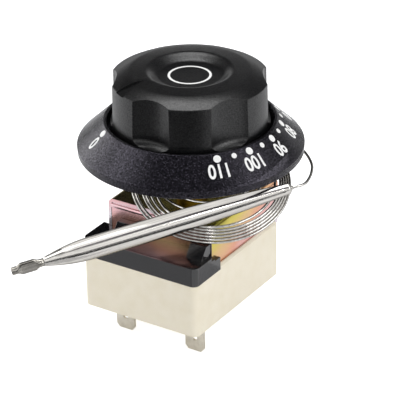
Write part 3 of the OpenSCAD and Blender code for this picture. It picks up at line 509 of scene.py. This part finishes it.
def drawn_tube(name, dark, light, axis, size, roughness):
    """Bright drawn steel with fine lines along an axis."""
    material, tree, shader, place = start_finish(
        name, {"Metallic": 1, "Specular Tint": linear("#7E7C79")})
    turn_to_z = axis.rotation_difference(ALONG_Z).to_euler()
    lined_up = add_node(tree, "ShaderNodeMapping", values={"Rotation": turn_to_z},
                        links={"Vector": place}).outputs[0]
    vary(tree, shader, patches(tree, lined_up, size, stretch=LONG_LINES),
         colours=[(0.3, dark), (0.7, light)], depth=0.004)
    vary(tree, shader, patches(tree, place, 4, 2), roughness=(roughness * 0.8, roughness * 1.25))
    describe(material)
    return material


bulb_finish = drawn_tube("bright_drawn_bulb", "#C9C6C1", "#E6E3DE", bulb_axis, 0.35, 0.17)
tail_finish = drawn_tube("dull_drawn_tail", "#85827C", "#BCB9B2", bulb_axis, 0.35, 0.2)
capillary_finish = drawn_tube("bright_drawn_capillary", "#BAB8B3", "#E6E4E0", ALONG_Z, 0.8, 0.12)

# %% [markdown]
# The print is an opaque white ink, pad printed and nearly matt. Its tone varies a little, because
# an even white would look cut out of paper.
# %% White print
print_finish, tree, shader, place = start_finish("white_pad_print", {"Roughness": 0.5, "IOR": 1.5})
vary(tree, shader, patches(tree, place, 0.5), colours=[(0.3, "#E9E9E6"), (0.7, "#FAFAF8")])
vary(tree, shader, patches(tree, place, 0.25), depth=0.006)
describe(print_finish)

# %% [markdown]
# Steatite is a fired ceramic for small insulating pins. It is off-white and dull, with a faint
# speckle.
# %% Steatite
finishes["ceramic"], tree, shader, place = start_finish(
    "fired_steatite", {"Roughness": 0.55, "IOR": 1.58})
vary(tree, shader, patches(tree, place, 0.6), colours=[(0.35, "#DDD8CB"), (0.65, "#EFECE3")])
vary(tree, shader, patches(tree, place, 0.4), depth=0.01)
describe(finishes["ceramic"])

# %% [markdown]
# Every solid of the CAD model now gets the finish that its record names. The inner frame, the
# bulb and the filling tube have one of their own.
# %% Finish for every solid
slots = {part["node"]: part["material_slot"] for part in frame["record"]["subparts"]}
bodies = {node: body for body, nodes in frame["record"]["behaviour"]["bodies"].items()
          for node in nodes}
own_finish = {"inner_frame": inner_frame_finish, "bulb": bulb_finish, "filling_tail": tail_finish}
for name, solid in frame["nodes"].items():
    solid.data.materials.clear()
    solid.data.materials.append(own_finish.get(name, finishes[slots[name]]))
print("solids with a finish:", len(frame["nodes"]))

# %% [markdown]
# New pieces are plain closed meshes at the origin. Each rides on a body of the CAD model, and
# may stand for one of its solids. These helpers make an object from a mesh, read what modifiers
# have made, build meshes from rows of corners, and join meshes.
# %% Helpers for pieces
def add_piece(name, mesh, finish, body, stands_for=None):
    """A piece of the object with its finish, its body, and the solid that it stands for."""
    mesh.materials.clear()
    mesh.materials.append(finish)
    piece = bpy.data.objects.new(name, mesh)
    scene.collection.objects.link(piece)
    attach(piece, body)
    if stands_for:
        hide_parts(stands_for)
    print(name, len(mesh.polygons), "faces")
    return piece


def made_by_modifiers(helper):
    """The mesh that the helper object's modifiers make. The helper itself goes."""
    bpy.context.view_layer.update()
    graph = bpy.context.evaluated_depsgraph_get()
    mesh = bpy.data.meshes.new_from_object(helper.evaluated_get(graph))
    bpy.data.objects.remove(helper)
    return mesh


def mesh_from(name, corners, faces, smooth=True):
    """A mesh from its corners and faces, with its faces outward."""
    mesh = bpy.data.meshes.new(name)
    mesh.from_pydata([tuple(c) for c in corners], [], faces)
    form = bmesh.new()
    form.from_mesh(mesh)
    bmesh.ops.recalc_face_normals(form, faces=form.faces)
    form.to_mesh(mesh)
    form.free()
    mesh.polygons.foreach_set("use_smooth", [smooth] * len(mesh.polygons))
    return mesh


def band_faces(rows, sides, first=0, closed=False):
    """Faces between rows of corners that run round an axis. A closed band also joins the last
    row to the first."""
    faces = []
    for row in range(rows if closed else rows - 1):
        here = first + row * sides
        above = first + (row + 1) % rows * sides
        for k in range(sides):
            n = (k + 1) % sides
            faces.append((here + k, here + n, above + n, above + k))
    return faces


def joined(name, meshes):
    """One mesh from several."""
    form = bmesh.new()
    for mesh in meshes:
        form.from_mesh(mesh)
    mesh = bpy.data.meshes.new(name)
    form.to_mesh(mesh)
    form.free()
    return mesh


print("bodies:", sorted(set(bodies.values())))

# %% [markdown]
# Solids from CAD have perfectly sharp edges. Real mouldings and bent sheets have small rounds,
# and these catch the light. Rounds in the CAD model would be slow and are no use to collisions,
# so the visible pieces are copied here. The copy's doubled corners are merged, and a Bevel
# rounds its sharp edges by the radius that the process leaves: 0.2 to 0.35 mm on a moulding,
# 0.1 mm on sheared sheet.
# %% Copies with rounded edges
SAME_CORNER = 1e-6
FLAT_WITHIN = math.radians(0.4)
SHARP_FROM = math.radians(28)


def rounded_copy(node, edge, height_change=None):
    """Copies a solid and rounds its sharp edges by edge millimetres. A function may first say by
    how much a corner rises."""
    form = bmesh.new()
    form.from_mesh(frame["nodes"][node].data)
    bmesh.ops.remove_doubles(form, verts=form.verts, dist=SAME_CORNER)
    if height_change:
        for corner in form.verts:
            corner.co.z += height_change(corner.co / MM) * MM
    bmesh.ops.dissolve_limit(form, angle_limit=FLAT_WITHIN, verts=form.verts, edges=form.edges)
    bmesh.ops.recalc_face_normals(form, faces=form.faces)
    for part in form.edges:
        part.smooth = part.calc_face_angle(0) < SHARP_FROM
    mesh = bpy.data.meshes.new(node + "_fine")
    form.to_mesh(mesh)
    form.free()
    mesh.polygons.foreach_set("use_smooth", [True] * len(mesh.polygons))
    helper = bpy.data.objects.new(node + "_helper", mesh)
    scene.collection.objects.link(helper)
    bevel = helper.modifiers.new("edges", "BEVEL")
    bevel.width = edge * MM
    bevel.segments = 2
    bevel.limit_method = "ANGLE"
    bevel.angle_limit = SHARP_FROM
    helper.modifiers.new("even_shading", "WEIGHTED_NORMAL").keep_sharp = True
    return add_piece(node + "_fine", made_by_modifiers(helper),
                     own_finish.get(node, finishes[slots[node]]), bodies[node], node)


for node, edge in [("housing", 0.35), ("cover", 0.25), ("bracket", 0.12), ("inner_frame", 0.12),
                   ("terminal_left", 0.1), ("terminal_right", 0.1), ("terminal_common", 0.1),
                   ("dial_bezel", 0.2)]:
    rounded_copy(node, edge)

# %% [markdown]
# The crown of the knob is one long curve from the bowl to the side. The CAD model has a flat
# crest and a tighter round, so the copy's crown is lowered by a few tenths of a millimetre to
# the long curve. The gleam then runs up to the edge, as on the real moulding. Moving corners
# keeps the scoops and the groove, which a new cap would have to be cut for.
# %% Knob
CREST_Z = 37.95
CREST_RADIUS = 16.9
SHOULDER_RADIUS = 22.6
CROWN_DROP = 2.35
LONG_CURVE_START = 14.0
NEAR_CROWN = 0.05


def arc_drop(radius, start):
    """Drop of an arc that is level at start and drops by CROWN_DROP at the shoulder."""
    run = SHOULDER_RADIUS - start
    bend = (run ** 2 + CROWN_DROP ** 2) / (2 * CROWN_DROP)
    out = min(max(radius - start, 0), run)
    return bend - math.sqrt(bend ** 2 - out ** 2)


def lower_crown(corner):
    """Rise of a corner that lies on the crown, otherwise 0."""
    radius = math.hypot(corner.x, corner.y)
    on_crown = corner.z > CREST_Z - arc_drop(radius, CREST_RADIUS) - NEAR_CROWN
    if radius < LONG_CURVE_START or not on_crown:
        return 0
    return arc_drop(radius, CREST_RADIUS) - arc_drop(radius, LONG_CURVE_START)


rounded_copy("knob", 0.2, height_change=lower_crown)

# %% [markdown]
# The sensing bulb is a thin steel tube. It is swaged to a point at one end, and at the other it
# is drawn down over a long cone and brazed round the capillary. It is turned here from its
# profile, a list of distances along the axis and radii. A Screw modifier could turn it too, but
# a loop lays it straight onto its slanting axis.
# %% Sensing bulb
BULB_RADIUS = 3.2
BULB_NECK = 1.3
LEFT_TAPER = 13
DRAWN_LENGTH = 28
DRAWN_RADIUS = 1.7
END_ROUND = 2
END_CHAMFER = 0.15
TUBE_RADIUS = 0.4
# The braze round the capillary: how far past the bulb's end, and the radius there
BRAZE = [(0.1, BULB_NECK - 0.25), (0.3, TUBE_RADIUS + 0.3), (0.9, TUBE_RADIUS + 0.05)]
TAPER_STEPS = 24
BARREL_STEPS = 4
CONE_STEPS = 20
ROUND_STEPS = 16
BULB_SIDES = 64

bulb_length = (BULB_RIGHT - BULB_LEFT).length
pitch = math.acos(bulb_axis.z)
yaw = math.atan2(bulb_axis.y, bulb_axis.x)
on_bulb = (Matrix.Translation(BULB_LEFT) @ Matrix.Rotation(yaw, 4, "Z")
           @ Matrix.Rotation(pitch, 4, "Y"))


def turned(name, profile, sides, place):
    """A closed solid of revolution. The profile is a list of (height, radius) in millimetres."""
    corners = [place @ Vector((0, 0, profile[0][0])) * MM]
    for height, radius in profile:
        for k in range(sides):
            a = 2 * math.pi * k / sides
            corners.append(place @ Vector((radius * math.cos(a), radius * math.sin(a), height)) * MM)
    corners.append(place @ Vector((0, 0, profile[-1][0])) * MM)
    last = len(corners) - 1
    faces = [(0, 1 + (k + 1) % sides, 1 + k) for k in range(sides)]
    faces += band_faces(len(profile), sides, first=1)
    start = last - sides
    faces += [(last, start + k, start + (k + 1) % sides) for k in range(sides)]
    return mesh_from(name, corners, faces)


widening = BULB_RADIUS - BULB_NECK
narrowing = BULB_RADIUS - DRAWN_RADIUS
shoulder = bulb_length - END_ROUND
drawn = shoulder - DRAWN_LENGTH

profile = [(0, BULB_NECK - END_CHAMFER), (END_CHAMFER, BULB_NECK)]
for step in range(1, TAPER_STEPS + 1):
    t = step / TAPER_STEPS
    profile.append((LEFT_TAPER * t, BULB_NECK + widening * math.sin(math.pi / 2 * t)))
for step in range(1, BARREL_STEPS + 1):
    profile.append((LEFT_TAPER + (drawn - LEFT_TAPER) * step / BARREL_STEPS, BULB_RADIUS))
for step in range(1, CONE_STEPS):
    t = step / CONE_STEPS
    profile.append((drawn + DRAWN_LENGTH * t, BULB_RADIUS - narrowing * (t ** 2 + 2 * t) / 3))
for step in range(ROUND_STEPS + 1):
    a = math.pi / 2 * step / ROUND_STEPS
    profile.append((shoulder + END_ROUND * math.sin(a),
                    BULB_NECK + (DRAWN_RADIUS - BULB_NECK) * math.cos(a)))
profile += [(bulb_length + out, radius) for out, radius in BRAZE]
add_piece("bulb_fine", turned("bulb_fine", profile, BULB_SIDES, on_bulb), bulb_finish, "base",
          "bulb")

# %% [markdown]
# After the bulb is filled with oil, its filling tube is pinched flat and cut off. The piece is
# a loft: each section is a rounded shape between an ellipse and a flat bar, and the outer end
# stays open because the pinch is in the middle. A squeezed cylinder would not show how flat it
# is at each place.
# %% Crimped filling tube
SECTION_SIDES = 40
# Distance from the bulb, half width, half thickness, and squareness of the section
TAIL_SECTIONS = [(-0.3, 1.15, 1.15, 2), (1.4, 1.15, 1.15, 2), (2.0, 1.35, 0.95, 2.4),
                 (2.6, 1.75, 0.6, 4), (2.9, 1.8, 0.55, 5), (6.5, 1.8, 0.55, 5),
                 (6.9, 1.72, 0.62, 4), (7.5, 1.3, 1.0, 2.4), (8.0, 1.15, 1.15, 2),
                 (9.35, 1.15, 1.15, 2), (9.5, 1.05, 1.05, 2), (9.5, 0.8, 0.8, 2),
                 (9.3, 0.75, 0.75, 2), (8.2, 0.7, 0.6, 2)]
tail_corners = []
for out, half_width, half_thick, power in TAIL_SECTIONS:
    for k in range(SECTION_SIDES):
        a = 2 * math.pi * k / SECTION_SIDES
        across = math.copysign(abs(math.cos(a)) ** (2 / power), math.cos(a)) * half_width
        up = math.copysign(abs(math.sin(a)) ** (2 / power), math.sin(a)) * half_thick
        tail_corners.append(on_bulb @ Vector((across, up, -out)) * MM)
last_row = (len(TAIL_SECTIONS) - 1) * SECTION_SIDES
tail_faces = [tuple(range(SECTION_SIDES))]
tail_faces += band_faces(len(TAIL_SECTIONS), SECTION_SIDES)
tail_faces.append(tuple(reversed(range(last_row, last_row + SECTION_SIDES))))
add_piece("filling_tail_fine", mesh_from("filling_tail_fine", tail_corners, tail_faces),
          tail_finish, "base", "filling_tail")

# %% [markdown]
# The capillary comes out of the case, makes ten turns of growing size round the shaft, and ends
# in the bulb. It was wound by hand, so the turns are loops whose centre, radius and tilt drift.
# The same rule as in the CAD model gives the points, only closer together. On the left, where
# they are best seen, the outer turns also spread and bunch up by a millimetre or so.
# %% Route of the capillary
# Turns, radius, centre and tilt in degrees. Between two of these the coil changes evenly.
COIL_KEYS = [(0, 10.5, Vector((5.9, 1.5, 9.1)), 9.9), (3, 13.8, Vector((6.5, 0.5, 5.3)), 11.4),
             (4.4, 18.4, Vector((9.5, -2.8, 6.1)), 17.3), (10, 22.5, Vector((7.3, 0.3, 3.9)), 24)]
COIL_START = 80
LOW_SIDE = math.radians(-55)
COIL_TURNS = 10
LOOSE_SIDE = math.radians(-150)
LOOSE_FROM = 4
LOOSENING = 0.6
KEPT_TURN = 7.2
SPREAD = 0.55
BUNCHING = 0.35
BUNCHES_PER_TURN = 0.37
STEPS_PER_TURN = 72
STEPS_PER_LEAD_POINT = 8
INTO_BULB = 0.5
SEAM = -10.1
LEAD_IN = [(0, 10.2, SEAM), (0, 13, SEAM), (0, 16, SEAM + 0.1), (-1.5, 19.2, SEAM + 0.6),
           (-6, 22, -6.5), (-9.5, 21.8, -1), (-8.5, 17.6, 3), (-6, 12.6, 4.6), (-2, 10.6, 6),
           (2.5, 10.6, 8)]
LEAD_OUT = [(19.5, 23, 11), (27.6, 17.4, 11.5), (33.1, 11.8, 11.7), (35.9, 7, 11.8),
            (37.6, 2.4, 11.9), (38.1, -1, 12), (37.2, -3.3, 12.1)]


def coil_point(turns):
    """Place on the coil in millimetres after a number of turns."""
    k = sum(turns > key[0] for key in COIL_KEYS[1:-1])
    start, end = COIL_KEYS[k], COIL_KEYS[k + 1]
    s = (turns - start[0]) / (end[0] - start[0])
    radius = start[1] + (end[1] - start[1]) * s
    centre = start[2].lerp(end[2], s)
    tilt = math.radians(start[3] + (end[3] - start[3]) * s)
    direction = math.radians(COIL_START - 360 * turns)
    a = direction - LOW_SIDE
    down = Vector((math.cos(LOW_SIDE) * math.cos(tilt), math.sin(LOW_SIDE) * math.cos(tilt),
                   -math.sin(tilt)))
    across = Vector((-math.sin(LOW_SIDE), math.cos(LOW_SIDE), 0))
    outward = math.cos(a) * down + math.sin(a) * across
    on_loose_side = max(0, math.cos(direction - LOOSE_SIDE)) ** 2
    ease = min(max((turns - LOOSE_FROM) / LOOSENING, 0), 1)
    drift = SPREAD * (turns - KEPT_TURN) + BUNCHING * math.sin(math.tau * BUNCHES_PER_TURN * turns)
    return centre + (radius + drift * on_loose_side * ease) * outward


def smooth_through(points, steps):
    """Smooth curve through points (Catmull-Rom), without its last point."""
    curve = []
    for i in range(len(points) - 1):
        a, b, c = points[max(i - 1, 0)], points[i], points[i + 1]
        d = points[min(i + 2, len(points) - 1)]
        for k in range(steps):
            t = k / steps
            curve.append(0.5 * (2 * b + (c - a) * t + (2 * a - 5 * b + 4 * c - d) * t * t
                                + (3 * b - a - 3 * c + d) * t ** 3))
    return curve


leads_meet = [coil_point(2 * i / STEPS_PER_TURN) for i in range(3)]
leads_part = [coil_point(COIL_TURNS - 2 * i / STEPS_PER_TURN) for i in (2, 1, 0)]
tube_end = BULB_RIGHT - INTO_BULB * bulb_axis
route = smooth_through([Vector(p) for p in LEAD_IN] + leads_meet, STEPS_PER_LEAD_POINT)
route += [coil_point(i / STEPS_PER_TURN) for i in range(4, COIL_TURNS * STEPS_PER_TURN - 3)]
route += smooth_through(leads_part + [Vector(p) for p in LEAD_OUT] + [tube_end],
                        STEPS_PER_LEAD_POINT)
route.append(tube_end)
route_length = sum((b - a).length for a, b in zip(route, route[1:]))
print("points:", len(route), " tube length in mm:", round(route_length))

# %% [markdown]
# Geometry Nodes sweep a round section along the route, which comes in as a chain of edges. A
# bevelled curve would look the same. The tree keeps the tube's radius and the number of its
# sides as inputs, for trying thicker and thinner tubes.
# %% Capillary tube by Geometry Nodes
CAPILLARY_SIDES = 12


def new_node_tree(name, inputs):
    """A Geometry Nodes tree with named inputs. Returns it, its input node and the identifiers."""
    tree = bpy.data.node_groups.new(name, "GeometryNodeTree")
    tree.interface.new_socket("Geometry", in_out="INPUT", socket_type="NodeSocketGeometry")
    tree.interface.new_socket("Geometry", in_out="OUTPUT", socket_type="NodeSocketGeometry")
    keys = {}
    for label, kind in inputs.items():
        socket = tree.interface.new_socket(label, in_out="INPUT", socket_type="NodeSocket" + kind)
        keys[label] = socket.identifier
    return tree, add_node(tree, "NodeGroupInput"), keys


def end_tree(tree, geometry, finish):
    """Ends a tree with real geometry that has a material."""
    real = add_node(tree, "GeometryNodeRealizeInstances", links={"Geometry": geometry})
    dressed = add_node(tree, "GeometryNodeSetMaterial",
                       links={"Geometry": real.outputs[0], "Material": finish})
    add_node(tree, "NodeGroupOutput", links={"Geometry": dressed.outputs[0]})


def run_tree(name, base, tree, keys, values):
    """The plain mesh that a tree makes from a base mesh with these input values."""
    helper = bpy.data.objects.new(name, base)
    scene.collection.objects.link(helper)
    modifier = helper.modifiers.new(name, "NODES")
    modifier.node_group = tree
    for label, value in values.items():
        modifier[keys[label]] = value
    return made_by_modifiers(helper)


sweep, given, sweep_keys = new_node_tree("tube_along_path", {
    "Tube radius": "Float", "Sides": "Int", "Finish": "Material"})
path = add_node(sweep, "GeometryNodeMeshToCurve", links={"Mesh": given.outputs["Geometry"]})
section = add_node(sweep, "GeometryNodeCurvePrimitiveCircle",
                   links={"Resolution": given.outputs["Sides"],
                          "Radius": given.outputs["Tube radius"]})
tube = add_node(sweep, "GeometryNodeCurveToMesh", values={"Fill Caps": True},
                links={"Curve": path.outputs[0], "Profile Curve": section.outputs["Curve"]})
soft = add_node(sweep, "GeometryNodeSetShadeSmooth", links={"Geometry": tube.outputs[0]})
end_tree(sweep, soft.outputs[0], given.outputs["Finish"])

chain = bpy.data.meshes.new("capillary_path")
chain.from_pydata([tuple(p * MM) for p in route], [(i, i + 1) for i in range(len(route) - 1)], [])
capillary = run_tree("capillary_tree", chain, sweep, sweep_keys,
                     {"Tube radius": TUBE_RADIUS * MM, "Sides": CAPILLARY_SIDES,
                      "Finish": capillary_finish})
add_piece("capillary_fine", capillary, capillary_finish, "base", "capillary")

# %% [markdown]
# The dial carries a white dot for every ten degrees and a smaller one halfway, in a ring near
# the cone's upper edge, and one more for the off position. On the real dial they are pad
# printed or hot stamped. Here a tree places thin discs at equal angles, leaning as the cone
# does. An Array could repeat one dot, but this tree has the counts, angles and sizes as inputs,
# and so it makes all three kinds of dots.
# %% Printed dots by Geometry Nodes
# The dial's cone at its inner and outer edge: radius and height
CONE_IN = (24.9, 22.9)
CONE_OUT = (32.3, 16.0)
DOT_RING = 25.95
BIG_DOT = 1.1
SMALL_DOT = 0.78
DOT_THICKNESS = 0.14
DOT_SIDES = 28
TENS = 9
# Angles run counterclockwise from the frame's x axis. The scale ends at the dot for 110.
SCALE_END = math.radians(-40.7)
TEN_DEGREES = math.radians(22.55)
OFF_MARK = math.radians(-129.4)

lean = math.atan2(CONE_IN[1] - CONE_OUT[1], CONE_OUT[0] - CONE_IN[0])


def cone_height(radius):
    """Height of the dial's cone at a radius, both in millimetres."""
    return CONE_IN[1] - (radius - CONE_IN[0]) * math.tan(lean)


dots, given, dot_keys = new_node_tree("ring_of_dots", {
    "Count": "Int", "First angle": "Float", "Step": "Float", "Ring radius": "Float",
    "Ring height": "Float", "Lean": "Float", "Dot radius": "Float", "Thickness": "Float",
    "Finish": "Material"})
places = add_node(dots, "GeometryNodePoints", links={"Count": given.outputs["Count"]})
index = add_node(dots, "GeometryNodeInputIndex")
turned_by = add_node(dots, "ShaderNodeMath", {"operation": "MULTIPLY_ADD"},
                     links={0: index.outputs[0], 1: given.outputs["Step"],
                            2: given.outputs["First angle"]})
east = add_node(dots, "ShaderNodeMath", {"operation": "COSINE"}, links={0: turned_by.outputs[0]})
north = add_node(dots, "ShaderNodeMath", {"operation": "SINE"}, links={0: turned_by.outputs[0]})
x = add_node(dots, "ShaderNodeMath", {"operation": "MULTIPLY"},
             links={0: east.outputs[0], 1: given.outputs["Ring radius"]})
y = add_node(dots, "ShaderNodeMath", {"operation": "MULTIPLY"},
             links={0: north.outputs[0], 1: given.outputs["Ring radius"]})
spot = add_node(dots, "ShaderNodeCombineXYZ",
                links={"X": x.outputs[0], "Y": y.outputs[0], "Z": given.outputs["Ring height"]})
moved = add_node(dots, "GeometryNodeSetPosition",
                 links={"Geometry": places.outputs[0], "Position": spot.outputs[0]})
disc = add_node(dots, "GeometryNodeMeshCylinder", values={"Vertices": DOT_SIDES},
                links={"Radius": given.outputs["Dot radius"], "Depth": given.outputs["Thickness"]})
angles = add_node(dots, "ShaderNodeCombineXYZ",
                  links={"Y": given.outputs["Lean"], "Z": turned_by.outputs[0]})
facing = add_node(dots, "FunctionNodeEulerToRotation", links={"Euler": angles.outputs[0]})
copies = add_node(dots, "GeometryNodeInstanceOnPoints",
                  links={"Points": moved.outputs[0], "Instance": disc.outputs["Mesh"],
                         "Rotation": facing.outputs[0]})
end_tree(dots, copies.outputs[0], given.outputs["Finish"])

shared = {"Ring radius": DOT_RING * MM, "Ring height": cone_height(DOT_RING) * MM, "Lean": lean,
          "Thickness": DOT_THICKNESS * MM, "Finish": print_finish}
runs = [("tens", TENS, SCALE_END, TEN_DEGREES, BIG_DOT),
        ("fives", TENS - 1, SCALE_END + TEN_DEGREES / 2, TEN_DEGREES, SMALL_DOT),
        ("off", 1, OFF_MARK, 0, BIG_DOT)]
parts = [run_tree(name, bpy.data.meshes.new(name), dots, dot_keys,
                  dict(shared, **{"Count": count, "First angle": first, "Step": step,
                                  "Dot radius": radius * MM}))
         for name, count, first, step, radius in runs]
add_piece("dial_dots", joined("dial_dots", parts), print_finish, "base")

# %% [markdown]
# The numbers are 0 for off, and 30 to 110. Each is a text turned into a thin mesh, scaled to
# the height of the print, then bent onto the cone: its width follows the circle, its height
# follows the slope, and a ray cast from above finds the dial's surface under each corner. Curve
# and Shrinkwrap modifiers could do this in two steps, with less say over the letters' shape.
# %% Printed numbers
NUMBER_RING = 28.6
NUMBER_HEIGHT = 4.3
NUMBER_WIDTH = 0.78
FIRST_NUMBER = 30
LETTER_WEIGHT = 0.022
LETTER_DEPTH = 0.01
PRINT_TOP = 0.04
PRINT_ROOT = -0.03
OVER_DIAL = 60
SAME_PRINT_CORNER = 1e-7

dial_mesh = bpy.data.objects["dial_bezel_fine"].data
dial_surface = BVHTree.FromPolygons([v.co for v in dial_mesh.vertices],
                                    [tuple(p.vertices) for p in dial_mesh.polygons])


def on_dial(radius, angle, lift):
    """Place over the dial's surface in metres, from a radius, an angle and a lift in metres."""
    start = Vector((radius * math.cos(angle), radius * math.sin(angle), OVER_DIAL * MM))
    hit = dial_surface.ray_cast(start, Vector((0, 0, -1)))[0]
    out = Vector((math.cos(angle) * math.sin(lean), math.sin(angle) * math.sin(lean),
                  math.cos(lean)))
    return hit + out * lift


def number_mesh(text, angle):
    """A printed number on the dial, with its head outward."""
    letters = bpy.data.curves.new("number_" + text, "FONT")
    letters.body = text
    letters.align_x = "CENTER"
    letters.align_y = "CENTER"
    letters.resolution_u = 6
    letters.extrude = LETTER_DEPTH
    letters.offset = LETTER_WEIGHT
    helper = bpy.data.objects.new("number_" + text, letters)
    scene.collection.objects.link(helper)
    mesh = made_by_modifiers(helper)
    tall = [v.co.y for v in mesh.vertices]
    middle = (max(tall) + min(tall)) / 2
    scale = NUMBER_HEIGHT * MM / (max(tall) - min(tall))
    for corner in mesh.vertices:
        along = (corner.co.y - middle) * scale
        radius = NUMBER_RING * MM + along * math.cos(lean)
        turn_by = corner.co.x * scale * NUMBER_WIDTH / (NUMBER_RING * MM)
        lift = PRINT_TOP if corner.co.z > 0 else PRINT_ROOT
        corner.co = on_dial(radius, angle - turn_by, lift * MM)
    form = bmesh.new()
    form.from_mesh(mesh)
    bmesh.ops.remove_doubles(form, verts=form.verts, dist=SAME_PRINT_CORNER)
    bmesh.ops.recalc_face_normals(form, faces=form.faces)
    form.to_mesh(mesh)
    form.free()
    return mesh


parts = [number_mesh(str(FIRST_NUMBER + 10 * k), SCALE_END + TEN_DEGREES * (TENS - 1 - k))
         for k in range(TENS)]
parts.append(number_mesh("0", OFF_MARK))
add_piece("dial_numbers", joined("dial_numbers", parts), print_finish, "base")

# %% [markdown]
# The bowl of the knob has a printed ring. It is a flat band with a little thickness, as ink is,
# sunk slightly into the bowl's floor, and it turns with the knob. A torus would be too round.
# %% Printed ring on the knob
RING_RADIUS = 5.9
RING_STROKE = 0.7
RING_RISE = 0.03
RING_SIDES = 96
BOWL_FLOOR = 36.15


def flat_band(name, inner, outer, low, high, sides):
    """A closed flat band round the shaft, in millimetres."""
    corners = []
    for radius, height in [(inner, low), (outer, low), (outer, high), (inner, high)]:
        for k in range(sides):
            a = 2 * math.pi * k / sides
            corners.append(Vector((radius * math.cos(a), radius * math.sin(a), height)) * MM)
    return mesh_from(name, corners, band_faces(4, sides, closed=True), smooth=False)


ring = flat_band("knob_ring_print", RING_RADIUS - RING_STROKE / 2, RING_RADIUS + RING_STROKE / 2,
                 BOWL_FLOOR - RING_RISE, BOWL_FLOOR + RING_RISE, RING_SIDES)
add_piece("knob_ring_print", ring, print_finish, "knob_shaft")
